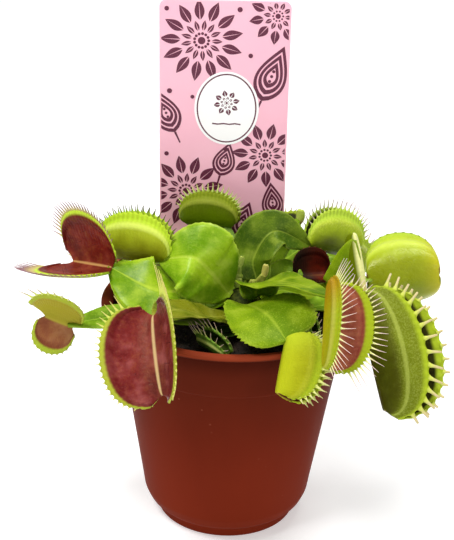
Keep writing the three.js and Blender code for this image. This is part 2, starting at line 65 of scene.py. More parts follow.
class Channel:
    """A value that changes over a surface: a shader socket that Python's operators build on."""

    def __init__(self, finish, socket):
        self.finish = finish
        self.socket = socket

    def maths(self, operation, *values):
        return self.finish.node("ShaderNodeMath", {"operation": operation}, dict(enumerate(values)))

    def __add__(self, other):
        return self.maths("ADD", self, other)

    def __sub__(self, other):
        return self.maths("SUBTRACT", self, other)

    def __rsub__(self, other):
        return self.maths("SUBTRACT", other, self)

    def __mul__(self, other):
        return self.maths("MULTIPLY", self, other)

    __radd__ = __add__
    __rmul__ = __mul__

    def wave(self):
        """Runs smoothly between 0 and 1 as the value grows by one."""
        return self.maths("SINE", self * (2 * math.pi)) * 0.5 + 0.5

    def rise(self, low, high):
        """0 below low, 1 above high, and smooth between them."""
        settings = {"interpolation_type": "SMOOTHSTEP"}
        return self.finish.node("ShaderNodeMapRange", settings, {0: self, 1: low, 2: high})


class Finish:
    """One material, with the ways its values are made."""

    def __init__(self, name):
        self.material = bpy.data.materials.new(name)
        self.material.use_nodes = True
        self.tree = self.material.node_tree
        self.shader = self.tree.nodes["Principled BSDF"]
        self.place = self.node("ShaderNodeTexCoord", output="Object")

    def node(self, kind, settings=None, inputs=None, output=0):
        made = self.tree.nodes.new(kind)
        for key, value in (settings or {}).items():
            setattr(made, key, value)
        for key, value in (inputs or {}).items():
            self.feed(made.inputs[key], value)
        return Channel(self, made.outputs[output])

    def feed(self, socket, value):
        if isinstance(value, Channel):
            self.tree.links.new(value.socket, socket)
        else:
            socket.default_value = value

    def mix(self, first, second, share):
        """Two colours mixed, each a channel or the red, green and blue that tint takes."""
        first, second = (c if isinstance(c, Channel) else tint(*c) for c in (first, second))
        return self.node("ShaderNodeMix", {"data_type": "RGBA"}, {0: share, 6: first, 7: second}, output=2)

    def layered(self, body, *layers):
        """The body's colour under layers of other colours, each with the share that it covers."""
        for colour, share in layers:
            body = self.mix(body, colour, share)
        return body

    def mark(self, name):
        return self.node("ShaderNodeAttribute", {"attribute_name": name}, output="Fac")

    def height(self):
        """How high the surface lies over the floor."""
        return self.node("ShaderNodeSeparateXYZ", inputs={0: self.place}, output=2)

    def stretched(self, x, y, z):
        """The surface's place, squeezed or drawn out along each axis."""
        return self.node("ShaderNodeVectorMath", {"operation": "MULTIPLY"}, {0: self.place, 1: (x, y, z)})

    def noise(self, size, detail, roughness=0.5, place=None):
        """Cloudy noise whose spots are about size metres across."""
        inputs = {"Vector": place or self.place, "Scale": 1 / size, "Detail": detail, "Roughness": roughness}
        return self.node("ShaderNodeTexNoise", inputs=inputs)

    def specks(self, size):
        """Distance to the nearest of many scattered points about size metres apart."""
        return self.node("ShaderNodeTexVoronoi", inputs={"Vector": self.place, "Scale": 1 / size})

    def bump(self, height, depth, strength):
        return self.node("ShaderNodeBump", inputs={"Height": height, "Distance": depth, "Strength": strength})

    def dress(self, **sockets):
        for key, value in sockets.items():
            self.feed(self.shader.inputs[key.replace("_", " ")], value)
        return self


def build(name, shape, finish, replaces=(), marks=None, smooth=True):
    """A mesh in the pot's frame that rides on the one body, with its marks as named values at its points."""
    points, faces = shape
    mesh = bpy.data.meshes.new(name)
    mesh.from_pydata([tuple(p) for p in points], [], [tuple(f) for f in faces])
    mesh.validate()
    mesh.update()
    for key, values in (marks or {}).items():
        data = mesh.attributes.new(key, "FLOAT", "POINT").data
        data.foreach_set("value", np.asarray(values, dtype=np.float32))
    mesh.polygons.foreach_set("use_smooth", [smooth] * len(mesh.polygons))
    mesh.materials.append(finish.material)
    thing = bpy.data.objects.new(name, mesh)
    bpy.context.collection.objects.link(thing)
    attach(thing, "root")
    if replaces:
        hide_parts(*replaces)
    return thing


def rounded(outline, radius):
    """The outline, given as (r, z), with each corner turned through a small arc."""
    result = [outline[0]]
    for places in zip(outline, outline[1:], outline[2:]):
        before, corner, after = (np.array(p) for p in places)
        inwards, outwards = before - corner, after - corner
        room = min(radius, 0.45 * np.linalg.norm(inwards), 0.45 * np.linalg.norm(outwards))
        start = corner + inwards / np.linalg.norm(inwards) * room
        end = corner + outwards / np.linalg.norm(outwards) * room
        for t in np.linspace(0, 1, 5):
            result.append(tuple((1 - t) ** 2 * start + 2 * t * (1 - t) * corner + t**2 * end))
    return [*result, outline[-1]]


def band(near, far, sides):
    """The faces between two rings of points, which start at the points near and far."""
    return [(near + k, near + (k + 1) % sides, far + (k + 1) % sides, far + k) for k in range(sides)]


def turned(outline, sides):
    """Points and faces of an outline from axis to axis, turned round the Z axis."""
    angles = np.arange(sides) * 2 * math.pi / sides
    rings = outline[1:-1]
    points = [(0, 0, outline[0][1])]
    for r, z in rings:
        points += [(r * math.cos(a), r * math.sin(a), z) for a in angles]
    points.append((0, 0, outline[-1][1]))
    faces = [(0, 1 + (k + 1) % sides, 1 + k) for k in range(sides)]
    last = 1 + (len(rings) - 1) * sides
    for ring in range(1, last, sides):
        faces += band(ring, ring + sides, sides)
    faces += [(len(points) - 1, last + k, last + (k + 1) % sides) for k in range(sides)]
    return points, faces


def pot_outline():
    """Half section of the pot, from the middle of the base out, up, over the lip and down inside."""
    lip, under_lip, band_foot, wall, shoulder, foot, top = 45.0, 42.0, 39.0, 38.1, 30.3, 24.6, 81.0
    outside = [(0, 0), (9, 0), (9.7, 1.6), (20, 1.6), (20.7, 0), (foot, 0), (foot + 0.3, 3.2), (28.1, 5.8)]
    outside += [(29.6, 9.2), (shoulder, 14), (wall, 62.7), (band_foot, 63.4), (under_lip, 78.4)]
    over = [(lip - 0.7, 78.8), (lip, 79.5), (lip, 80.3), (lip - 0.8, top), (under_lip + 0.4, top)]
    inside = [(under_lip - WALL, 79.8), (band_foot - WALL, 63.4), (shoulder - WALL, 14)]
    inside += [(26.9, 7.2), (23.4, 3.2), (0, 3.2)]
    wide, high = RIM_RADIUS / lip, POT_HEIGHT / top
    return [(r * wide, z * high) for r, z in outside + over + inside]


def pot_plastic():
    """Matt plastic with a few scuffs, and painted light and shade that change with height."""
    s = Finish("pot plastic")
    cloud = s.noise(0.03, 2.0)
    streak = s.noise(0.004, 3.0, place=s.stretched(1, 1, 0.12))
    grain = s.noise(0.0005, 2.0)
    scuffs = 1 - s.specks(0.006).rise(0.03, 0.09)
    height = s.height()
    # A painted highlight on the lip, and painted shade in the band under it.
    lip = height.rise(POT_HEIGHT - 1.9 * MM, POT_HEIGHT - 1.0 * MM)
    shade = height.rise(POT_HEIGHT - 11 * MM, POT_HEIGHT - 3 * MM) * (1 - lip)
    body = s.layered(
        s.mix((90, 27, 13), (110, 37, 20), cloud * 0.7 + streak * 0.3),
        # Painted light: redder and lighter low down. Painted shade: darker high up.
        ((132, 46, 24), (1 - height.rise(0.0, 0.06)) * 0.45),
        ((66, 24, 11), height.rise(0.03, 0.076) * 0.55),
        # Painted shade under the lip, then the painted highlight on the lip.
        ((56, 14, 5), shade * 0.75),
        ((132, 54, 32), lip * 0.9),
        ((150, 84, 64), scuffs * cloud.rise(0.5, 0.7) * 0.5),
    )
    normal = s.bump(grain * 0.5 + streak * 0.5, 0.00006, 0.5)
    return s.dress(Base_Color=body, Roughness=0.4 + streak * 0.16, Normal=normal, Specular_IOR_Level=0.012)


pot_shape = turned(rounded(pot_outline(), 0.8 * MM), POT_SIDES)
pot = build("pot_shell", pot_shape, pot_plastic(), ["pot"])

DRAIN_COUNT = 6
DRAIN_RADIUS = 2.8 * MM
DRAIN_CIRCLE = 14.5 * MM
for k in range(DRAIN_COUNT):
    angle = (k + 0.5) / DRAIN_COUNT * 2 * math.pi
    centre = (DRAIN_CIRCLE * math.cos(angle), DRAIN_CIRCLE * math.sin(angle), 0)
    bpy.ops.mesh.primitive_cylinder_add(vertices=24, radius=DRAIN_RADIUS, depth=12 * MM, location=centre)
    drill = bpy.context.object
    cut = pot.modifiers.new("drain", "BOOLEAN")
    cut.operation = "DIFFERENCE"
    cut.object = drill
    bpy.context.view_layer.objects.active = pot
    bpy.ops.object.modifier_apply(modifier=cut.name)
    bpy.data.objects.remove(drill)

# The peat
# Moist, dark, crumbly peat that fills the pot to a little below the lip. Its top is rough, and small crumbs
# lie loose on it.

SOIL_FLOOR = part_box("soil")[0][2]
SOIL_EDGE = 70.0 * MM
SOIL_MOUND = 3.0 * MM
SOIL_RADIUS = 38.7 * MM
SOIL_RINGS, SOIL_SIDES = 60, 200
LUMPS = ((9, 0.5, 0.4), (4.5, 0.42, 1.3), (2.3, 0.34, 2.1), (1.3, 0.22, 2.9), (0.8, 0.13, 0.8))
LUMP_DEPTH = 0.6
CRUMB_COUNT = 2600
random = np.random.default_rng(7)


def lumps(x, y):
    """Height of the peat's rough top over its smooth mound, from waves of falling size."""
    height = 0
    for size, depth, turn in LUMPS:
        u = (x * math.cos(turn) + y * math.sin(turn)) / (size * MM)
        v = (y * math.cos(turn) - x * math.sin(turn)) / (size * MM)
        ridges = np.sin(2 * u + 1.4 * np.sin(1.7 * v))
        height = height + depth * ridges * np.cos(2.3 * v + 1.1 * np.sin(1.3 * u + turn))
    return height * LUMP_DEPTH * MM


def soil_top(x, y):
    part = np.minimum(np.hypot(x, y) / SOIL_RADIUS, 1)
    return SOIL_EDGE + SOIL_MOUND * (1 - part**2) + lumps(x, y)


def soil_body():
    outline = [(0, 0)] + [(k / SOIL_RINGS * SOIL_RADIUS, 0) for k in range(1, SOIL_RINGS + 1)]
    outline += [(SOIL_RADIUS * 0.985, 63.4 * MM), (28.8 * MM, 14 * MM), (26.6 * MM, 7.5 * MM)]
    outline += [(23.1 * MM, SOIL_FLOOR), (0, SOIL_FLOOR)]
    points, faces = turned(outline, SOIL_SIDES)
    points = np.array(points)
    top = slice(0, 1 + SOIL_RINGS * SOIL_SIDES)
    points[top, 2] = soil_top(points[top, 0], points[top, 1])
    return points, [face[::-1] for face in faces]


def turning(angle):
    """The matrix that turns rows of two coordinates through an angle."""
    return np.array([(math.cos(angle), math.sin(angle)), (-math.sin(angle), math.cos(angle))])


def crumbs():
    """Loose crumbs: small lumps of eight faces, pressed a little way into the peat."""
    corner = np.array([(1, 0, 0), (-1, 0, 0), (0, 1, 0), (0, -1, 0), (0, 0, 1), (0, 0, -1)], float)
    sides = [(0, 2, 4), (2, 1, 4), (1, 3, 4), (3, 0, 4), (2, 0, 5), (1, 2, 5), (3, 1, 5), (0, 3, 5)]
    points, faces = [], []
    for k in range(CRUMB_COUNT):
        radius = SOIL_RADIUS * 0.97 * math.sqrt(random.random())
        angle = random.random() * 2 * math.pi
        size = (0.25 + 0.9 * random.random() ** 3) * MM
        x, y = radius * math.cos(angle), radius * math.sin(angle)
        lump = corner * size * random.uniform(0.6, 1.2, (6, 1))
        lump = lump * (1, random.uniform(0.5, 1.6), random.uniform(0.5, 0.9))
        spin = random.random() * 2 * math.pi
        lump[:, :2] = lump[:, :2] @ turning(spin)
        lump = lump + (x, y, soil_top(x, y) + 0.2 * size)
        faces += [tuple(len(points) + i for i in side) for side in sides]
        points += list(lump)
    return points, faces


def peat():
    s = Finish("peat")
    cloud = s.noise(0.006, 4.0, 0.6)
    grain = s.noise(0.0007, 4.0, 0.65)
    dark = s.mix((26, 19, 14), (70, 52, 37), cloud.rise(0.35, 0.75))
    body = s.mix(dark, (104, 80, 54), grain.rise(0.62, 0.8) * 0.7)
    normal = s.bump(s.specks(0.0011) * 0.6 + grain, 0.0006, 0.9)
    return s.dress(Base_Color=body, Roughness=0.92 - cloud * 0.2, Normal=normal)


peat_finish = peat()
build("peat_body", soil_body(), peat_finish, ["soil"])
build("peat_crumbs", crumbs(), peat_finish)

# The crown
# The short fleshy rhizome in the middle of the peat, dull green over brown and wrapped in the bases of old
# leaves. Every leaf springs from it. Its sizes, like those of the leaves and the label, are in millimetres.

CROWN_CENTRE = np.array((4.0, 3.0, 76.5))
CROWN_RADIUS = 7.0
CROWN_FOOT, FOOT_RADIUS = 58.0, 4.5


def crown_skin():
    s = Finish("crown skin")
    ribs = s.noise(0.0012, 3.0, place=s.stretched(1, 1, 0.3))
    # The green top is darkened as painted shade, for the shade of the leaves over the crown.
    green = s.mix((34, 42, 10), (66, 72, 22), ribs.rise(0.35, 0.7))
    body = s.mix((98, 66, 42), green, s.height().rise(0.071, 0.08))
    return s.dress(Base_Color=body, Roughness=0.6, Normal=s.bump(ribs, 0.0004, 0.7), Specular_IOR_Level=0.05)


def crown_body():
    """A round head on a root stub, with shallow folds down its sides."""
    arc = np.linspace(-math.acos(FOOT_RADIUS / CROWN_RADIUS), math.pi / 2, 26)
    outline = [(0, CROWN_FOOT), (FOOT_RADIUS, CROWN_FOOT)]
    outline += [(CROWN_RADIUS * math.cos(a), CROWN_CENTRE[2] + CROWN_RADIUS * math.sin(a)) for a in arc]
    outline[-1] = (0, outline[-1][1])
    points, faces = turned([(r * 0.985, z) for r, z in outline], 64)
    points = np.array(points)
    angle = np.arctan2(points[:, 1], points[:, 0])
    folds = 1 - 0.02 * (0.5 + 0.5 * np.sin(7 * angle + (points[:, 2] - 76) * 0.5))
    points[:, :2] *= folds[:, None]
    return (points + (CROWN_CENTRE[0], CROWN_CENTRE[1], 0)) * MM, faces


build("crown_body", crown_body(), crown_skin(), ["crown"])

# The leaves
# Each leaf is a flat waved blade that narrows to a neck and ends in a trap: two fleshy lobes on a midrib,
# with a lip and a row of teeth along each margin. They grow out of the crown all round.

# A name that ends in HALF is a half width. NOTCHES and RUFFLES count along a whole blade, RIDGE and HOLLOW
# are the lip's relief, and TOOTHED is the share of a margin that holds teeth.
CROWN_GAP = 0.25
STALK = 3.0
INTO_TRAP = 1.5
BLADE_THICKNESS, STALK_THICKNESS = 0.8, 1.5
STALK_HALF, NECK_HALF = 1.5, 0.9
NOTCHES = 31
RUFFLE, RUFFLES = 0.22, 7
KEEL, KEEL_HALF = 0.45, 0.9
GROOVE, GROOVE_HALF = 0.18, 0.5
LOBE_THICKNESS = 0.9
MIDRIB, MIDRIB_HALF = 0.5, 0.07
RIDGE, HOLLOW = 0.3, 0.45
FULL_REACH = 7.0
FIRST_TOOTH, TOOTHED = 0.05, 0.9
HAIR, HAIR_HALF = 2.6, 0.09
HAIR_PLACES = ((0.4, 0.38), (0.62, 0.4), (0.5, 0.6))
MARKS = ("trap", "margin", "turn", "inside", "tooth", "hair", "second")


def unit(vectors):
    return vectors / np.linalg.norm(vectors, axis=-1, keepdims=True)


def along_route(points, t):
    """Places at t, 0 to 1, on a smooth curve through the points."""
    points = np.array(points, float)
    padded = np.vstack([2 * points[0] - points[1], points, 2 * points[-1] - points[-2]])
    spans = len(points) - 1
    span = np.minimum((t * spans).astype(int), spans - 1)
    u = (t * spans - span)[:, None]
    before, start, end, after = (padded[span + k] for k in range(4))
    leave, arrive = (end - before) / 2, (after - start) / 2
    bend = 3 * (end - start) - 2 * leave - arrive
    twist = 2 * (start - end) + leave + arrive
    return start + leave * u + bend * u**2 + twist * u**3


class Growth:
    """Gathers the skins, teeth and hairs of one leaf, with the marks that its finish reads at each point."""

    def __init__(self):
        self.points, self.faces, self.marks = [], [], {key: [] for key in MARKS}

    def add(self, points, faces, **marks):
        first = sum(len(p) for p in self.points)
        self.points.append(points)
        self.faces += [tuple(first + i for i in face) for face in faces]
        for key in MARKS:
            self.marks[key].append(np.broadcast_to(np.asarray(marks.get(key, 0.0), float), len(points)))

    def skin(self, middle, under, over, **marks):
        """A closed skin over a grid of points, thickened by under outside and by over inside."""
        rows, columns = middle.shape[:2]
        size = rows * columns
        normal = unit(np.cross(np.gradient(middle, axis=0), np.gradient(middle, axis=1)))
        outer, inner = middle + normal * under[..., None], middle - normal * over[..., None]
        index = np.arange(size).reshape(rows, columns)
        corners = [index[:-1, :-1], index[1:, :-1], index[1:, 1:], index[:-1, 1:]]
        quads = np.stack(corners, -1).reshape(-1, 4)
        rim = [*index[0, :-1], *index[:-1, -1], *index[-1, :0:-1], *index[:0:-1, 0]]
        faces = [*quads.tolist(), *(quads[:, ::-1] + size).tolist()]
        faces += [(a, b, b + size, a + size) for a, b in zip(rim, rim[1:] + rim[:1])]
        both = {"inside": np.repeat([0.0, 1.0], size)}
        for key, value in marks.items():
            both[key] = np.tile(np.broadcast_to(value, (rows, columns)).ravel(), 2)
        self.add(np.concatenate([outer.reshape(-1, 3), inner.reshape(-1, 3)]), faces, **both)

    def spike(self, path, wide, deep, side, sides=6, **marks):
        """A tapering spike along a path, with its half width across the given side and its half depth."""
        heading = unit(np.gradient(path, axis=0))
        side = unit(side - heading * (heading @ side)[:, None])
        other = np.cross(heading, side)
        angles = np.arange(sides)[None, :, None] * 2 * math.pi / sides
        ring = np.cos(angles) * side[:, None] * wide[:, None, None]
        ring = ring + np.sin(angles) * other[:, None] * deep[:, None, None]
        points = (path[:, None] + ring).reshape(-1, 3)
        last = len(points) - sides
        faces = [face for row in range(0, last, sides) for face in band(row, row + sides, sides)]
        faces.append(tuple(range(last, len(points))))
        for key, value in marks.items():
            marks[key] = np.repeat(value, sides) if np.ndim(value) else value
        self.add(points, faces, **marks)


def blade_skin(growth, leaf):
    """The blade: a stalk that widens to a waved leaf with a keel under it, and narrows again to the neck."""
    azimuth, rise = np.radians(leaf.root)
    out = np.array((math.cos(rise) * math.cos(azimuth), math.cos(rise) * math.sin(azimuth), math.sin(rise)))
    start = CROWN_CENTRE + out * (CROWN_RADIUS + CROWN_GAP)
    *bends, neck, tip = np.array(leaf.route, float)
    route = [start, start + out * STALK, *bends, neck + unit(tip - neck) * INTO_TRAP]
    t = np.linspace(0, 1, leaf.rows)
    side = np.linspace(-1, 1, leaf.columns)[None, :]
    spine = along_route(route, t)
    ahead, behind = np.minimum(t + 0.001, 1), np.maximum(t - 0.001, 0)
    tangent = unit(along_route(route, ahead) - along_route(route, behind))
    face = unit(np.array(leaf.face, float))
    up = unit(face - tangent * (tangent @ face)[:, None])
    right = np.cross(tangent, up)
    swell = np.maximum(np.sin(math.pi * t ** (math.log(0.5) / math.log(leaf.widest))), 0)[:, None]
    stem = (STALK_HALF + (NECK_HALF - STALK_HALF) * t)[:, None]
    t = t[:, None]
    notches = np.sin(2 * math.pi * NOTCHES * t + 2 * np.sin(9 * t)) * np.abs(side) ** 9
    half = (stem + swell * leaf.width) * (1 + leaf.jagged * notches)
    depth, waves = leaf.wave
    wave = depth * swell * side**2 * np.sin(2 * math.pi * waves * t + side)
    ruffle = RUFFLE * swell * side**4 * np.sin(2 * math.pi * (RUFFLES * t + 0.3 * side)) * (leaf.width > 4)
    lift = leaf.fold * half * np.abs(side) + wave + ruffle
    slide = leaf.ears * side**2 * swell
    middle = spine[:, None] + right[:, None] * (half * side)[..., None]
    middle = middle + up[:, None] * lift[..., None] + tangent[:, None] * slide[..., None]
    full = STALK_THICKNESS + (BLADE_THICKNESS - STALK_THICKNESS) * np.sin(math.pi * t) ** 0.5
    edge = 1 - 0.7 * np.abs(side) ** 10
    keel = KEEL * np.exp(-((half * side / KEEL_HALF) ** 2)) * np.minimum(swell * 3, 1)
    groove = GROOVE * np.exp(-((half * side / GROOVE_HALF) ** 2)) * swell
    growth.skin(middle, full / 2 * edge + keel, full / 2 * edge - groove, margin=np.abs(side), turn=t)


class Lobes:
    """The form of a trap's two lobes: turn runs 0 to 1 from neck to tip, sign picks the lobe."""

    def __init__(self, leaf):
        self.leaf = leaf
        self.neck, self.tip = np.array(leaf.route[-2:], float)
        self.middle = (self.neck + self.tip) / 2
        self.length = np.linalg.norm(self.tip - self.neck)
        self.along = (self.tip - self.neck) / self.length
        opening = np.array(leaf.open, float)
        self.opening = unit(opening - self.along * (opening @ self.along))
        self.aside = np.cross(self.along, self.opening)
        self.half = math.radians(leaf.gape / 2)
        self.slim = min(1, leaf.reach / FULL_REACH)
        self.sealed = self.slim < 1

    def outward(self, sign):
        return self.aside * sign * math.cos(self.half) - self.opening * math.sin(self.half)

    def margin(self, turn, sign):
        """Places on a lobe's margin."""
        leaf, lobe = self.leaf, int(sign > 0)
        angle = math.pi * np.asarray(turn, float)[..., None]
        arch = np.maximum(np.sin(angle), 0)
        reach = (leaf.end_width + (1 - leaf.end_width) * arch**0.7) * (leaf.reach * leaf.lobe_reach[lobe])
        apart = LOBE_THICKNESS * self.slim * (arch**0.5 if self.sealed else 1)
        sideways = sign * (reach * math.sin(self.half) + apart)
        shift = -(0.5 + leaf.overhang) * self.length * np.cos(angle) + leaf.lean[lobe] * np.sin(angle / 2)
        place = self.middle + self.along * shift + self.opening * reach * math.cos(self.half)
        return place + self.aside * sideways

    def surface(self, turn, out, sign):
        """Places on a lobe, with out 0 at the midrib and 1 at the margin."""
        hinge = self.neck + (self.tip - self.neck) * ((1 - np.cos(math.pi * turn)) / 2)[..., None]
        hinge = hinge + self.opening * (self.leaf.bow * np.sin(math.pi * turn))[..., None]
        ends = 0.0 if self.sealed else 0.06
        fade = np.maximum(np.sin(math.pi * (ends + (1 - 2 * ends) * turn)), 0) ** 0.5
        bulge = self.leaf.bulge * np.sin(math.pi * out**0.65) * fade
        past = out - self.leaf.ridge_at
        lip = RIDGE * np.exp(-((past / 0.05) ** 2)) - HOLLOW * np.exp(-(((past - 0.13) / 0.07) ** 2))
        proud = bulge + lip * fade * min(1, self.leaf.reach / 12)
        place = hinge + (self.margin(turn, sign) - hinge) * out[..., None]
        return place + self.outward(sign) * proud[..., None]


def trap_skin(growth, leaf):
    """Both lobes as one skin, thick at the midrib, thin at the margin and scalloped between the teeth."""
    lobes = Lobes(leaf)
    turn = np.linspace(0, 1, leaf.trap_rows)[:, None]
    across = np.linspace(-1, 1, leaf.trap_columns)[None, :]
    across = np.sign(across) * np.abs(across) ** 0.85
    second = np.where(across < 0, 0, 1)
    turn, out = np.broadcast_arrays(turn, np.abs(across))
    left, right = lobes.surface(turn, out, -1), lobes.surface(turn, out, 1)
    middle = np.where(second[..., None] > 0, right, left)
    place = (turn - FIRST_TOOTH) / TOOTHED * leaf.teeth - 0.25 - 0.5 * second
    scallop = leaf.scallop * np.cos(2 * math.pi * place) * out**12
    middle = middle + unit(middle - lobes.middle + 1e-6) * scallop[..., None]
    thick = LOBE_THICKNESS / 2 * (1 - 0.45 * out**8) * lobes.slim
    rib = MIDRIB * lobes.slim * np.exp(-((out / MIDRIB_HALF) ** 2)) * np.sin(math.pi * turn) ** 0.4
    growth.skin(middle, thick + rib, thick, trap=1.0, margin=out, turn=turn, second=second)


def trap_teeth(growth, leaf):
    """The teeth along both margins: wide at the root, bent a little inwards and drawn out to a point."""
    lobes = Lobes(leaf)
    s = np.linspace(0, 1, 6)
    for sign, shares in zip((-1, 1), leaf.teeth_share):
        for k in range(leaf.teeth):
            turn = FIRST_TOOTH + TOOTHED * (k + 0.25 + 0.5 * (sign > 0)) / leaf.teeth
            root = lobes.margin(turn, sign)
            away = unit(unit(root - lobes.middle) - lobes.outward(sign) * leaf.hook)
            step = lobes.margin(turn + 0.01, sign) - lobes.margin(turn - 0.01, sign)
            vary = 0.85 + 0.3 * random.random()
            share = np.interp(turn, (0.05, 0.35, 0.65, 0.95), np.broadcast_to(shares, 4))
            length = leaf.tooth * share * min(vary, 1)
            sway = (random.random() - 0.5) * 0.16 * length
            path = root + away * (length * s - 0.5 * (1 - s))[:, None]
            path = path - lobes.outward(sign) * (0.1 * length * s**2)[:, None]
            path = path + unit(step) * (sway * s**2)[:, None]
            thin = leaf.tooth_width * (1 - leaf.taper * s**0.8)
            wide = thin * (1 + 1.1 * (1 - s) ** 4)
            tooth = 0.04 + 0.96 * s
            growth.spike(path, wide, thin, step, trap=1.0, margin=1.0, turn=turn, tooth=tooth, inside=0.5)


def trigger_hairs(growth, leaf):
    """Three fine dark hairs that stand on the inner face of each lobe of an open trap."""
    lobes = Lobes(leaf)
    s = np.linspace(0, 1, 4)
    thin = HAIR_HALF * (1 - 0.7 * s)
    for sign in (-1, 1):
        for turn, out in HAIR_PLACES:
            root = lobes.surface(np.array([turn]), np.array([out]), sign)[0]
            stand = -lobes.outward(sign) + 0.25 * lobes.opening
            path = root + unit(stand) * (HAIR * s)[:, None] + lobes.along * (0.4 * s**2)[:, None]
            growth.spike(path, thin, thin, lobes.along, sides=4, trap=1.0, inside=1.0, hair=1.0, turn=turn)


def leaf_skin(name, look):
    """Waxy green blade; trap green outside, a painted highlight band and lime lip, and often red inside."""
    s = Finish(name)
    trap, margin, turn, inside, tooth, hair, second = (s.mark(key) for key in MARKS)
    patches, cloud, mottle = s.noise(0.012, 2.0), s.noise(0.006, 3.0), s.noise(0.0022, 4.0, 0.6)
    blister, grain = s.noise(0.0013, 2.0), s.noise(0.0005, 3.0, 0.6)
    veins = (margin * 8 + mottle * 0.9 + cloud).wave()
    ribs = (turn * 24 + mottle * 0.35).wave()

    green, dark, light = look.green
    blade = s.layered(
        s.mix(dark, green, patches.rise(0.38, 0.62)),
        (dark, cloud.rise(0.5, 0.72) * 0.45),
        (light, cloud.rise(0.52, 0.7) * patches * 0.7 + veins * patches.rise(0.4, 0.6) * 0.08),
        (light, mottle.rise(0.5, 0.8) * 0.12 + blister.rise(0.5, 0.7) * 0.1),
        (dark, grain.rise(0.5, 0.7) * look.grainy * 0.5),
        (light, (1 - grain).rise(0.54, 0.7) * look.grainy * 0.6),
        (light, (1 - margin.rise(0.01, 0.08)) * 0.45 + margin.rise(0.93, 0.99) * 0.4),
        (dark, (1 - inside) * 0.3),
    )

    high, low = look.outer
    # A painted highlight: a pale band along the raised line of the lip, over the lobe's own colour.
    place, width = look.ridge_at, look.ridge_width
    ridge = margin.rise(place - width, place - 0.01) * (1 - margin.rise(place + 0.02, place + width))
    speckle = grain.rise(0.42, 0.66) * margin.rise(place - 0.25, place) * 0.8 + mottle.rise(0.5, 0.8) * 0.2
    outer = s.layered(
        s.mix(low, high, margin.rise(look.low_to, place) * 0.85 + (cloud - 0.5) * 0.9),
        (look.ridge, speckle * look.speckled),
        (look.lip, margin.rise(look.lip_at, look.lip_at + 0.12)),
        (look.ridge, ridge * look.ridge_share),
        (low, ribs * margin.rise(place + 0.02, 0.9) * look.ribbed),
    )

    flesh, dark, light = look.inner
    edge = look.lip_from
    inner = s.layered(
        s.mix(dark, flesh, patches.rise(0.35, 0.62) * 0.5 + mottle.rise(0.3, 0.7) * 0.5),
        (light, cloud.rise(0.45, 0.7) * 0.4 + ribs * grain.rise(0.45, 0.75) * 0.12),
        (dark, margin.rise(edge - 0.22, edge) * 0.6),
        (look.midrib, (1 - margin.rise(0.006, 0.04)) * 0.75 + (1 - margin.rise(0.02, 0.5)) * 0.025),
        (look.lip, margin.rise(edge - 0.01, edge + 0.06) + (mottle - 0.5) * 0.2),
    )

    lobes = s.mix(outer, inner, inside)
    for colour, lobe in ((look.first, 1 - second), (look.second, second)):
        if colour:
            shaded = s.mix(colour, low, cloud.rise(0.4, 0.7) * 0.2 + ribs * look.ribbed)
            lobes = s.mix(lobes, shaded, lobe * (1 - margin.rise(edge, edge + 0.05) * 0.7) * 0.85)
    for colour, reached in ((look.near, 1 - turn.rise(0.15, 0.5)), (look.far, turn.rise(0.6, 0.95))):
        if colour:
            lobes = s.mix(lobes, colour, reached * (1 - inside) * 0.7)
    # A painted shadow inside the trap near its neck.
    if look.deep:
        lobes = s.mix(lobes, look.deep, (1 - turn.rise(0.25, 0.75)) * inside * 0.9)
    root, point = look.spines
    spike = s.mix(root, point, tooth.rise(0.15, 0.7))
    lobes = s.layered(lobes, (spike, tooth.rise(0.03, 0.2)), ((60, 18, 22), hair))

    roughness = look.roughness + (mottle - 0.5) * 0.35 + (cloud - 0.5) * 0.3 + trap * 0.05
    relief = cloud * 1.2 + mottle * 0.7 + blister * 0.35 + grain * look.grainy
    relief = relief + veins * (1 - trap) * 0.1 + ribs * trap * look.rib_depth * margin.rise(0.2, 0.6)
    s.dress(Base_Color=s.mix(blade, lobes, trap), Roughness=roughness, Normal=s.bump(relief, 0.0003, 0.8))
    s.dress(Coat_Weight=(1 - trap) * cloud.rise(0.3, 0.6) * look.coat, Coat_Roughness=0.3)
    s.dress(Specular_IOR_Level=look.gloss, Specular_Tint=(1.0, 0.97, 0.6, 1.0))
    return s.dress(Subsurface_Weight=0.1, Subsurface_Radius=(1.0, 1.2, 0.3), Subsurface_Scale=0.0012)


# What most leaves have. The root is two angles at the crown, and the route holds places along the blade's
# middle, the trap's neck and its tip. Pairs of trap values are for its two lobes, and teeth_share is the
# teeth's length at the neck, on both sides of the middle and at the tip. The colours green and inner are a
# middle, a dark and a light one, outer is near the margin and near the midrib, spines at a tooth's root and
# point. first and second lie over one lobe, near and far over the trap's ends, and deep is a painted shadow
# inside near the neck.
USUAL = dict(
    width=5, widest=0.6, face=(0, 0, 1), fold=0.2, wave=(0.6, 2), ears=1, jagged=0.012, bulge=1.5,
    overhang=0.16, end_width=0.2, lobe_reach=(1, 1), lean=(0, 0), bow=0, scallop=0.3, teeth=10,
    teeth_share=((0.66, 0.96, 0.96, 0.66),) * 2, tooth=4, tooth_width=0.36, taper=0.82, hook=0.2, rows=72,
    columns=19, trap_rows=81, trap_columns=45, green=((130, 166, 26), (88, 122, 12), (174, 202, 70)),
    outer=((172, 200, 36), (120, 130, 22)), inner=((132, 50, 46), (92, 28, 28), (168, 92, 84)),
    # The pale band's colour, share and width make a painted highlight along the lip's raised line.
    spines=((206, 216, 120), (206, 176, 164)), lip=(190, 218, 58), ridge=(222, 232, 130),
    midrib=(206, 160, 96), lip_from=0.86, roughness=0.38, ridge_share=0.6, gloss=0.07, rib_depth=0.2,
    ridge_at=0.73, ridge_width=0.1, low_to=0.05, lip_at=0.73, speckled=0.1, ribbed=0.22, coat=0.1,
    grainy=0.3, first=None, second=None, near=None, far=None, deep=None,
)
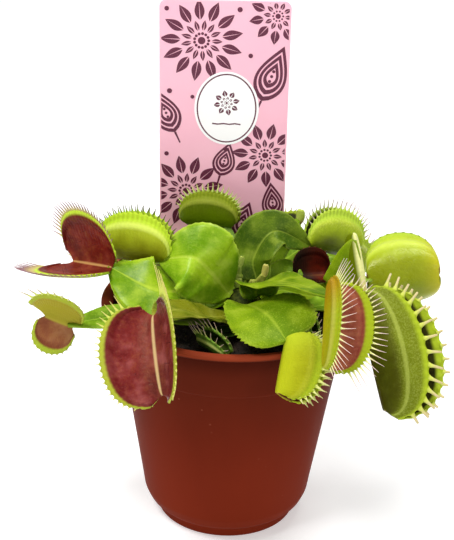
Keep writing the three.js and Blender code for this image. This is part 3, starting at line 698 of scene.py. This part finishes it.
SPROUT = dict(
    face=(0, -1, 0), fold=0, wave=(0, 1), ears=0, overhang=0, end_width=0.05, teeth=0, rows=24, columns=7,
    trap_rows=25, trap_columns=17,
)
# Painted shade: the colours of leaves that lie low in the pot, darkened for the shade of the leaves above.
SHADED = dict(
    green=((66, 104, 24), (40, 70, 14), (110, 146, 60)), outer=((72, 104, 26), (44, 70, 16)),
    lip=(110, 146, 50),
)
REAR = dict(width=6, fold=0.15, wave=(0.7, 2.2), ears=2)


def grow(name, **form):
    """Grows one leaf: what it is given, and for the rest what most leaves have."""
    leaf = SimpleNamespace(**(USUAL | form))
    growth = Growth()
    blade_skin(growth, leaf)
    trap_skin(growth, leaf)
    trap_teeth(growth, leaf)
    if leaf.gape > 40 and leaf.reach > 12:
        trigger_hairs(growth, leaf)
    shape = (np.concatenate(growth.points) * MM, growth.faces)
    marks = {key: np.concatenate(values) for key, values in growth.marks.items()}
    skin = leaf_skin(f"leaf skin {name}", leaf)
    build(f"leaf_{name}_grown", shape, skin, [f"leaf_{name}"], marks)


grow(
    "upper_left", root=(198, 24),
    route=((-11.1, 1, 82.5), (-25.7, -13.1, 89.2), (-40.8, -6.5, 93.9), (-54.8, 3.6, 91.4)), width=11.5,
    widest=0.66, face=(0, -0.6, 0.8), fold=0.1, wave=(0.9, 2.4), ears=3, open=(-0.78, -0.24, 0.57), gape=66,
    reach=20.5, lobe_reach=(1.14, 1), teeth=28, tooth=8,
    teeth_share=((0.5, 1, 1, 0.9), (0.25, 0.45, 0.58, 0.55)),
    green=((142, 176, 14), (94, 134, 5), (187, 207, 61)), outer=((98, 122, 24), (60, 84, 14)),
    inner=((132, 36, 28), (90, 20, 16), (156, 72, 58)), spines=((196, 178, 116), (150, 112, 124)), coat=0.3,
    lip_from=0.9,
)
grow(
    "back_left", root=(201, 47),
    route=((-7.2, -3.8, 91.8), (-13.8, -5.5, 98.1), (-23.9, -0.1, 94.3), (-43.8, 6.5, 93)), width=12.5,
    face=(0, -0.8, 0.6), fold=0.12, wave=(1, 2.2), ears=3, open=(0.04, 0.25, 0.97), gape=10, reach=16,
    bulge=4, teeth=19, tooth=2.8,
    green=((153, 188, 28), (102, 144, 14), (196, 215, 82)), outer=((162, 174, 36), (107, 107, 4)),
    spines=((150, 184, 50), (86, 84, 40)), coat=0.3, lip=(179, 209, 49), ridge=(220, 236, 110),
)
grow(
    "back_centre", root=(111, 51),
    route=((0.4, 12, 88.8), (-1.8, 16.8, 94.2), (-0.8, 20.2, 99.7), (-16.8, 24.4, 98.9)), width=3.2,
    face=(0, -1, 0.1), wave=(0.3, 1.5), ears=0, open=(0.02, 0.19, 0.98), gape=10, reach=12, bulge=3,
    teeth=18, tooth=3,
    green=((140, 170, 70), (108, 146, 52), (176, 196, 120)), outer=((73, 87, 3), (88, 112, 3)),
    spines=((176, 200, 90), (200, 204, 130)), lip=(132, 145, 34), ridge=(180, 188, 70), ridge_share=0.4,
    ribbed=0.35,
)
grow(
    "back_right", root=(41, 54),
    route=((7.3, 10, 92), (14.3, 13.2, 101), (26.8, 16.2, 94.4), (42, 24.6, 88.2)), width=7.4, widest=0.56,
    face=(-0.35, -0.72, 0.6), fold=0.42, wave=(0.8, 2.2), ears=2, open=(0.12, 0.26, 0.95), gape=9,
    reach=15.5, bulge=3.5, teeth=19, tooth=5, teeth_share=((0.5, 0.7, 1, 1), (0.4, 0.45, 0.85, 0.95)),
    green=((98, 124, 18), (56, 84, 8), (150, 168, 56)), outer=((162, 184, 30), (88, 100, 14)),
    inner=((96, 96, 24), (70, 72, 16), (120, 120, 40)), spines=((190, 210, 110), (190, 170, 170)), coat=0,
    gloss=0.2, ridge_share=0.15, speckled=0.35, ribbed=0.3, lip=(178, 206, 62), ridge=(232, 240, 110),
)
grow(
    "right_slim", root=(356, 35),
    route=((17, 1.7, 83.8), (34.6, -1.5, 84.2), (40.4, 1, 105.6), (44.6, -5.5, 86.6)), width=5.2, widest=0.8,
    face=(0, -0.7, 0.7), open=(-0.25, 0.88, -0.4), gape=10, reach=6.5, bulge=1.7, overhang=0.02,
    end_width=0.1, scallop=0, teeth=0,
    green=((126, 152, 12), (98, 126, 6), (152, 174, 34)), outer=((112, 128, 6), (98, 112, 5)),
    inner=((252, 246, 150), (240, 228, 128), (255, 252, 180)), far=(206, 150, 96), second=(255, 253, 170),
    ribbed=0.05, ridge_share=0.1, lip=(128, 144, 14), ridge=(160, 172, 50),
)
grow(
    "right_back", root=(9, -10),
    route=((19.8, 9.9, 81.5), (36.8, 15, 82.3), (48.1, 15.8, 82.5), (73.2, 15.8, 85.5)),
    open=(0.03, 0.98, -0.17), gape=72, reach=20, bulge=5, overhang=0, end_width=0.15, scallop=0, hook=1.6,
    teeth=12, teeth_share=(0.5, 0.15),
    # first darkens the lower lobe to olive, as painted shade.
    outer=((172, 192, 34), (132, 142, 8)), spines=((188, 212, 70), (190, 200, 110)), first=(112, 126, 14),
    far=(186, 176, 22), rib_depth=0.02, gloss=0.4, roughness=0.28, lip=(172, 198, 36), ridge=(208, 222, 88),
    ridge_at=0.62, ridge_width=0.22, lip_at=0.8, ribbed=0.05,
)
grow(
    "right_low", root=(341, 11),
    route=((20, -9.1, 81.5), (32.4, -13.8, 85.6), (42.8, -14, 87), (51, -38, 60)), open=(0.96, 0, 0.3),
    gape=12, reach=18, bulge=4.5, overhang=0.11, lobe_reach=(1.28, 1), teeth=14, tooth=5.5, tooth_width=0.6,
    taper=0.4, teeth_share=((0.3, 0.3, 0.35, 0.3), (1, 0.85, 0.85, 0.7)),
    # Painted shade: the inner colours are darkened to dark olive for the shaded gap between the lobes.
    outer=((112, 125, 21), (74, 76, 11)), inner=((62, 60, 16), (40, 38, 10), (86, 84, 26)),
    spines=((196, 206, 86), (206, 190, 140)), ridge_at=0.6, ridge_width=0.05, low_to=0.4, lip_at=0.84,
    speckled=0.4, ridge_share=0.5, ribbed=0.12, lip=(160, 179, 38), ridge=(169, 179, 82),
)
grow(
    "front_right", root=(306, 46),
    route=((9.5, -7.2, 90.1), (19, -21.9, 97.1), (30.3, -39.3, 102.3), (29.3, -53.3, 85.1)), width=7,
    widest=0.55, face=(0.1, -0.2, 1), fold=0.1, wave=(1, 2.5), open=(0.75, -0.51, 0.42), gape=66, reach=14,
    bulge=2, scallop=0.45, teeth=25, tooth=6, tooth_width=0.24,
    teeth_share=((0.5, 0.6, 1.05, 1.3), (1, 1.35, 1.35, 0.9)),
    green=((118, 145, 8), (77, 110, 3), (168, 184, 52)), outer=((136, 142, 12), (168, 150, 18)),
    inner=((175, 103, 76), (142, 69, 55), (203, 144, 109)), spines=((226, 228, 150), (228, 200, 190)),
    near=(164, 108, 8), lip=(152, 169, 29), lip_from=0.8, ridge=(182, 181, 80),
)
grow(
    "front", root=(279, 21),
    route=((5.7, -14.3, 85.2), (11.9, -30, 88.7), (18, -39.9, 86.1), (14.9, -53.2, 73.4)), width=12.8,
    widest=0.72, face=(0, -0.5, 0.87), fold=0.08, wave=(0.9, 2.5), ears=7, jagged=0.035,
    open=(0.96, -0.24, 0.05), gape=14, reach=13.5, bulge=2.4, overhang=0.1, end_width=0.4, teeth=15,
    tooth=4.5, tooth_width=0.45, teeth_share=((0.5, 0.6, 0.6, 0.4), (0.6, 0.75, 0.75, 0.4)),
    green=((125, 152, 14), (96, 128, 8), (164, 184, 52)), outer=((144, 146, 12), (172, 178, 26)),
    spines=((220, 228, 120), (216, 214, 150)), ridge_share=0.12, grainy=1.0, coat=0.05, near=(176, 190, 40),
    lip=(150, 168, 30), ridge=(195, 202, 78), roughness=0.48,
)
grow(
    "front_left", root=(242, 3),
    route=((-7.3, -15.6, 80.9), (-17.2, -30.3, 90.1), (-24.2, -47.2, 95.6), (-20.4, -64.7, 78)), width=7,
    widest=0.62, face=(0, -0.3, 1), fold=0.15, wave=(0.9, 2.4), ears=2, open=(-0.54, -0.64, 0.55), gape=96,
    reach=17.5, bulge=2, bow=1.4, teeth=22, tooth=5,
    teeth_share=((2.1, 0.8, 0.5, 0.5), (1, 0.35, 0.25, 0.25)),
    green=((120, 122, 18), (78, 92, 8), (166, 166, 64)), inner=((126, 40, 38), (88, 22, 25), (172, 98, 94)),
    spines=((206, 216, 96), (206, 196, 110)), midrib=(224, 196, 136), lip=(158, 166, 50), roughness=0.32,
    lip_from=0.88,
)
grow(
    "left_small", root=(205, -7),
    route=((-12.8, -9.5, 77.1), (-32.6, -22.5, 83.8), (-52.2, -26.8, 81.4), (-60.6, -27.8, 85.4)),
    widest=0.75, face=(0, -0.3, 1), open=(-0.2, -0.95, 0), gape=124, reach=10.5, overhang=0.25,
    lobe_reach=(1, 1.25), lean=(0, 5), scallop=0.12, teeth=11, teeth_share=(0.15, (0.1, 0.3, 1.2, 1.7)),
    outer=((168, 186, 40), (150, 136, 34)), inner=((148, 92, 60), (121, 63, 44), (179, 133, 95)),
    spines=((206, 216, 120), (190, 170, 140)), second=(160, 158, 40), lip=(158, 174, 52), lip_from=0.82,
)
grow(
    "inner_right", root=(17, 21),
    route=((13.4, 5.8, 79.4), (18, 8.8, 87.3), (23, 6.6, 86.9), (33, 10.1, 86.4)), width=4.5,
    face=(0, -0.6, 0.8), wave=(0.5, 2), open=(0.2, -0.4, 0.9), gape=95, reach=9.5, scallop=0, teeth=9,
    teeth_share=(0.12, 0.12),
    # Painted shade: its red and green are darkened for the shadow it sits in, and deep is a near-black
    # painted shadow by the neck.
    outer=((60, 20, 8), (44, 16, 8)), inner=((84, 13, 5), (44, 6, 3), (116, 32, 14)),
    spines=((90, 100, 30), (110, 70, 40)), midrib=(110, 60, 30), deep=(14, 7, 4), lip=(60, 16, 8),
)
grow(
    "inner_front", root=(262, -14),
    route=((0.9, -12, 74.5), (-4, -18, 75.2), (-8, -23.7, 75.1), (-1, -33.7, 76.1)), width=3,
    wave=(0.3, 1.5), ears=0, open=(-0.25, -0.3, 0.9), gape=16, reach=7, bulge=2, teeth=9, tooth=3.5,
    tooth_width=0.26, teeth_share=((1.3, 1.5, 1.3, 0.9),) * 2,
    # Its inner colours are darkened as painted shade as well.
    inner=((58, 74, 22), (40, 56, 14), (82, 96, 40)), midrib=(90, 104, 40), **SHADED,
)
grow(
    "inner_low", root=(313, -2),
    route=((10.7, -10.6, 77.5), (16.8, -22, 79.7), (21.7, -23.5, 81.3), (26.2, -31.5, 81.3)), width=5.5,
    face=(0, -0.4, 0.9), fold=0.15, wave=(0.5, 2), open=(0.1, 0.1, 1), gape=16, reach=7, bulge=2, teeth=8,
    tooth=3,
    # Its inner colours are darkened as painted shade as well.
    inner=((70, 84, 26), (50, 62, 16), (94, 106, 46)), midrib=(100, 110, 44), **SHADED,
)
grow(
    "young_left", root=(145, 74),
    route=((2.1, 5.9, 86.2), (1.6, 5.6, 87.5), (1.6, 4.9, 90), (2.8, 5.1, 94.5)), width=0.6,
    open=(0.5, 0.9, 0), gape=4, reach=2.4, bulge=0.6, **SPROUT,
    green=((186, 196, 110), (150, 168, 70), (174, 202, 70)), outer=((196, 206, 110), (176, 190, 90)),
    inner=((170, 176, 90), (150, 160, 70), (168, 92, 84)), lip=(180, 190, 90),
)
grow(
    "young_right", root=(345, 70), route=((8, 1, 85.5), (9.2, 0, 87.3), (10.4, -0.5, 89), (11, -0.5, 94)),
    width=0.8, open=(0.3, 0.95, 0), gape=4, reach=3, bulge=0.8, **SPROUT,
    green=((196, 190, 110), (160, 158, 70), (174, 202, 70)), outer=((206, 200, 120), (190, 178, 92)),
    inner=((180, 176, 90), (160, 160, 70), (168, 92, 84)), lip=(190, 190, 90),
)
grow(
    "bud", root=(70, 26), route=((10, 13, 84), (17, 18.5, 93), (22.6, 22.3, 100.6), (22.8, 22.5, 105.6)),
    width=2.5, face=(-0.3, -0.9, 0.3), wave=(0.3, 1.5), ears=0, open=(0.5, 0.85, 0), gape=6, reach=3.4,
    bulge=1.1, overhang=0, end_width=0.12, scallop=0, teeth=0, rows=32, columns=9, trap_rows=31,
    trap_columns=21,
    outer=((180, 198, 84), (176, 192, 80)), inner=((150, 120, 60), (130, 100, 50), (168, 92, 84)),
    near=(150, 84, 84), lip=(186, 206, 90),
)
grow(
    "rear_left", root=(168, 0), route=((-13, 6, 78.5), (-29, 13, 83.5), (-41, 21, 84.5), (-51, 31, 78)),
    widest=0.62, open=(-0.5, 0.2, 0.85), gape=70, reach=11, tooth=4.5, **REAR,
)
grow(
    "rear_left_low", root=(129, -1),
    route=((-8.6, 16.4, 76.3), (-28.8, 29.5, 83.4), (-36.9, 37.6, 84.1), (-41.9, 47.6, 72.1)),
    open=(-0.2, 0.8, 0.6), gape=16, reach=12, bulge=3, **REAR,
)
grow(
    "rear_centre", root=(86, 8), route=((10, 19, 81.5), (26, 32, 88.5), (22, 45, 88), (11, 56, 79)),
    width=5.5, widest=0.5, fold=0.15, wave=(0.7, 2.2), ears=2, open=(-0.3, 0.5, 0.8), gape=62, reach=12,
    lobe_reach=(1, 0.9), tooth=4.5, teeth_share=((0.3, 0.5, 0.96, 0.66), (0.1, 0.3, 0.96, 0.66)),
    inner=((92, 104, 36), (70, 82, 24), (124, 130, 60)),
)
grow(
    "rear_right", root=(53, -6),
    route=((16.8, 15.5, 77), (29.1, 28.3, 83.5), (37.9, 36.4, 83.3), (45.9, 44.4, 72.3)),
    open=(0.5, 0.4, 0.75), gape=18, reach=12, bulge=3, **REAR,
)

# The label
# A stiff pink card, printed with dark red flowers and pods round a pale oval, and cut with rounded corners
# above a narrow pointed stake. The stake stands in the peat behind the crown.

CARD = SimpleNamespace(centre_x=-3.9, y=33.5, foot=42.0, half=22.5, top=135.0, shoulder=46.0, corner=2.5)
STAKE = SimpleNamespace(half=7.0, top=34.0, point=12.0)
CARD_THICKNESS, CARD_BEVEL = 0.7, 0.12
CARD_LEAN = math.radians(0.6)
PRINT_LIFT, MOTIF_LIFT, PANEL_LIFT = 0.02, 0.008, 0.01
PRINT_EDGES = ((1, 0, 21.9), (-1, 0, 21.9), (0, 1, 134.4), (0, -1, -47.5), (1, 1, 155.2), (-1, 1, 155.2))


def on_card(x, up, proud):
    """A point of the card's front face, x to the right of its middle and up from the tip of its stake."""
    turned_x = x * math.cos(CARD_LEAN) - up * math.sin(CARD_LEAN)
    turned_up = up * math.cos(CARD_LEAN) + x * math.sin(CARD_LEAN)
    y = CARD.y - CARD_THICKNESS - proud
    return (CARD.centre_x + turned_x) * MM, y * MM, (CARD.foot + turned_up) * MM


def card_outline(inset):
    half, stake, top, corner = CARD.half - inset, STAKE.half - inset, CARD.top - inset, CARD.corner
    right = [(stake, STAKE.point), (stake, STAKE.top), (half, CARD.shoulder)]
    for k in range(11):
        a = math.pi / 2 * k / 10
        right.append((half - corner + corner * math.cos(a), top - corner + corner * math.sin(a)))
    return [(0, inset * 2)] + right + [(-x, up) for x, up in reversed(right)]


def card_body():
    """The card: flat faces with a narrow bevel all round."""
    back = CARD_THICKNESS
    layers = [(CARD_BEVEL, 0.0), (0.0, CARD_BEVEL), (0.0, back - CARD_BEVEL), (CARD_BEVEL, back)]
    rings = [[on_card(x, up, -depth) for x, up in card_outline(inset)] for inset, depth in layers]
    size = len(rings[0])
    faces = [face[::-1] for k in range(3) for face in band(k * size, (k + 1) * size, size)]
    return sum(rings, []), faces + [tuple(range(size)), tuple(reversed(range(3 * size, 4 * size)))]


def card_board():
    s = Finish("card board")
    fibre = s.noise(0.0006, 3.0)
    body = s.mix((250, 192, 208), (246, 180, 200), s.noise(0.02, 2.0))
    return s.dress(Base_Color=body, Roughness=0.42 + fibre * 0.12, Normal=s.bump(fibre, 0.00003, 0.4))


def print_ink():
    """Slightly uneven ink: dark red for the flowers, pods and the oval's rim, near white inside the oval."""
    s = Finish("print ink")
    grain = s.noise(0.0004, 3.0, 0.6)
    dark = s.mix((88, 20, 50), (124, 52, 82), grain.rise(0.45, 0.8))
    body = s.mix(dark, (252, 250, 250), s.mark("pale"))
    return s.dress(Base_Color=body, Roughness=0.4 + grain * 0.1, Normal=s.bump(grain, 0.00002, 0.3))


class Print:
    """Flat ink shapes that lie on the card's front face."""

    def __init__(self, lift):
        self.points, self.faces, self.pale = [], [], []
        self.lift = lift

    def shape(self, outline, pale=0.0):
        outline = self.trimmed(outline)
        if len(outline) < 3:
            return
        first = len(self.points)
        self.points += [on_card(x, up, self.lift) for x, up in outline]
        self.faces.append(tuple(range(first, first + len(outline))))
        self.pale += [pale] * len(outline)

    @staticmethod
    def trimmed(outline):
        """The part of an outline that lies inside the card's edges and rounded corners."""
        for across, upward, limit in PRINT_EDGES:
            kept = []
            for here, after in zip(outline, [*outline[1:], *outline[:1]]):
                room = [limit - across * p[0] - upward * p[1] for p in (here, after)]
                if room[0] >= 0:
                    kept.append(tuple(here))
                if room[0] * room[1] < 0:
                    share = room[0] / (room[0] - room[1])
                    kept.append(tuple(np.array(here) + (np.array(after) - here) * share))
            outline = kept
        return outline

    def stroke(self, path, widths):
        """A line of varying width along a path."""
        path, widths = np.array(path, float), np.array(widths, float)
        heading = unit(np.gradient(path, axis=0))
        aside = np.stack([-heading[:, 1], heading[:, 0]], -1) * widths[:, None] / 2
        left, right = path + aside, path - aside
        for k in range(len(path) - 1):
            self.shape([right[k], right[k + 1], left[k + 1], left[k]])

    def disc(self, x, up, wide, high, pale=0.0):
        around = np.linspace(0, 2 * math.pi, 64, endpoint=False)
        self.shape([(x + wide * math.cos(a), up + high * math.sin(a)) for a in around], pale)

    def petal(self, x, up, length, width, angle):
        """A pointed oval petal with a clear vein, growing from its root at (x, up)."""
        t = np.linspace(0, 1, 15)
        gap = 0.16 * (1 - t)
        swell = np.maximum(np.sin(math.pi * t**0.8) * width / 2, gap)
        for side in (1, -1):
            edge, vein = (np.stack([t * length, side * off], -1) for off in (swell, gap))
            first, last = (edge, vein) if side > 0 else (vein, edge)
            half = np.concatenate([first, last[::-1]]) @ turning(angle)
            self.shape([(x, up) + p for p in half])

    def blossom(self, x, up, radius, petals):
        """An open flower: two rings of veined petals round a dotted middle."""
        for ring, (start, reach) in enumerate(((0.5, 1.0), (0.24, 0.5))):
            width = 2 * math.pi * start * radius / petals * 0.98
            for k in range(petals):
                angle = (k + 0.5 * ring) / petals * 2 * math.pi + 0.2
                root = (x + start * radius * math.cos(angle), up + start * radius * math.sin(angle))
                self.petal(*root, (reach - start) * radius, width, angle)
        for k in range(petals):
            angle = k / petals * 2 * math.pi
            across, upward = 0.17 * radius * math.cos(angle), 0.17 * radius * math.sin(angle)
            self.disc(x + across, up + upward, 0.035 * radius, 0.035 * radius)
        self.disc(x, up, 0.09 * radius, 0.09 * radius)

    def pod(self, x, up, length, width, angle):
        """A drop-shaped seed pod: three nested outlines round a row of seeds, on a short stalk."""
        turn = turning(angle)
        t = np.linspace(0, 1, 19)
        swell = np.sin(math.pi * t**0.7) * width / 2
        right, left = (np.stack([t * length, side * swell], -1) for side in (1, -1))
        edge = np.concatenate([right, left[-2:0:-1]])
        centre = np.array((0.45 * length, 0))
        for ring in range(3):
            outside, inside = (centre + (edge - centre) * (share - 0.27 * ring) for share in (1, 0.82))
            places = [(x, up) + p for p in np.concatenate([outside, inside]) @ turn]
            size = len(edge)
            for k in range(size):
                after = (k + 1) % size
                self.shape([places[k], places[size + k], places[size + after], places[after]])
        for k in range(3):
            seed = (x, up) + np.array(((0.36 + 0.09 * k) * length, 0)) @ turn
            self.disc(*seed, 0.05 * width, 0.05 * width)
        stalk = [(x, up) + np.array((reach * length, 0)) @ turn for reach in (-0.25, -0.12, 0)]
        self.stroke(stalk, [0.5, 0.6, 0.8])


build("label_card", card_body(), card_board(), ["plant_label"], smooth=False)

# Each flower has its place, its radius and its number of petals, each pod its root, length, width and angle,
# and each dot its place and radius.
FLOWERS = ((-8, 121, 14.5, 13), (15, 80, 12, 11), (-13, 66, 13.5, 12), (18, 130, 10, 10))
PODS = (
    (13, 100, 21, 11, 1.2), (-17, 88, 17, 9.5, 2.0), (-1, 72, 13, 8, 1.3), (5, 47, 16, 9, 1.25),
    (-3, 48, 15, 9, 1.9), (19, 56, 14, 8, 1.7),
)
DOTS = (
    (-19, 103, 0.9), (-20, 132, 0.8), (5, 132, 0.9), (9, 116, 0.8), (1, 82, 0.8), (-20, 80, 0.8),
    (2, 62, 0.8), (-11, 101, 0.7),
)
PANEL_X, PANEL_UP, PANEL_WIDE, PANEL_HIGH = 1.0, 97.0, 10.5, 12.5

artwork = Print(PRINT_LIFT)
for draw, motifs in ((artwork.blossom, FLOWERS), (artwork.pod, PODS)):
    for motif in motifs:
        artwork.lift += MOTIF_LIFT
        draw(*motif)
for x, up, size in DOTS:
    artwork.disc(x, up, size, size)
for wider, pale in ((0.8, 1.0), (0.0, 0.0), (-0.5, 1.0)):
    artwork.lift += PANEL_LIFT
    artwork.disc(PANEL_X, PANEL_UP, PANEL_WIDE + wider, PANEL_HIGH + wider, pale)
emblem = Print(artwork.lift + PANEL_LIFT)
emblem.blossom(PANEL_X, PANEL_UP + 2.0, 4.6, 8)
emblem.stroke([(PANEL_X - 5 + 2 * k, PANEL_UP - 5.5 - 0.25 * (k % 2)) for k in range(6)], [0.5] * 6)
ink = print_ink()
for name, work in (("label_print", artwork), ("label_emblem", emblem)):
    build(name, (work.points, work.faces), ink, marks={"pale": work.pale}, smooth=False)

# The studio
# A pale plain floor under soft light from above and the left, and the camera as the photograph was taken.

IMAGE_HEIGHT = 540
FOCAL_PIXELS = 1402.5
SENSOR = 36.0
CAMERA_DISTANCE = 0.480
CAMERA_RISE = math.radians(23.5)
CAMERA_ROLL = math.radians(1.78)
CAMERA_TARGET = np.array((-0.002, 0.0, 0.0916))
STUDIO_GLOW = 0.4


def studio_floor():
    """Plain pale paper that glows a little, as an overexposed background does."""
    s = Finish("floor paper")
    fibre = s.noise(0.002, 3.0)
    body = s.mix((226, 226, 226), (232, 232, 232), fibre)
    s.dress(Base_Color=body, Roughness=0.9, Normal=s.bump(fibre, 0.00002, 0.2))
    return s.dress(Emission_Color=(1.0, 1.0, 1.0, 1.0), Emission_Strength=STUDIO_GLOW)


bpy.ops.mesh.primitive_plane_add(size=8, location=(0, 0, 0))
floor = bpy.context.object
floor.name = "floor"
floor.data.materials.append(studio_floor().material)

world = bpy.data.worlds.new("studio")
world.use_nodes = True
world.node_tree.nodes["Background"].inputs["Color"].default_value = (1, 1, 1, 1)
world.node_tree.nodes["Background"].inputs["Strength"].default_value = STUDIO_GLOW
bpy.context.scene.world = world


def lamp(name, place, aim, size, power):
    light = bpy.data.lights.new(name, "AREA")
    light.shape = "DISK"
    light.size = size
    light.energy = power
    holder = bpy.data.objects.new(name, light)
    holder.location = place
    direction = Vector(np.array(aim) - np.array(place))
    holder.rotation_euler = direction.to_track_quat("-Z", "Y").to_euler()
    bpy.context.collection.objects.link(holder)


lamp("key", (-0.4, -0.35, 1.0), (0, 0, 0.09), 0.35, 8.5)
lamp("fill", (0.5, -0.9, 0.5), (0, 0, 0.08), 0.5, 2.2)
lamp("top", (0.2, 0.25, 1.0), (0, 0, 0.09), 0.4, 5)

forward = np.array((0, math.cos(CAMERA_RISE), -math.sin(CAMERA_RISE)))
level = np.array((1.0, 0, 0))
above = np.cross(level, forward)
right = math.cos(CAMERA_ROLL) * level + math.sin(CAMERA_ROLL) * above
upright = math.cos(CAMERA_ROLL) * above - math.sin(CAMERA_ROLL) * level
eye = CAMERA_TARGET - forward * CAMERA_DISTANCE
lens = bpy.data.cameras.new("camera")
lens.sensor_width = SENSOR
lens.lens = FOCAL_PIXELS / IMAGE_HEIGHT * SENSOR
lens.clip_start = 0.01
camera = bpy.data.objects.new("camera", lens)
camera.matrix_world = Matrix([*np.stack([right, upright, -forward, eye], -1).tolist(), [0, 0, 0, 1]])
bpy.context.collection.objects.link(camera)
bpy.context.scene.camera = camera
bpy.context.scene.view_settings.view_transform = "Standard"
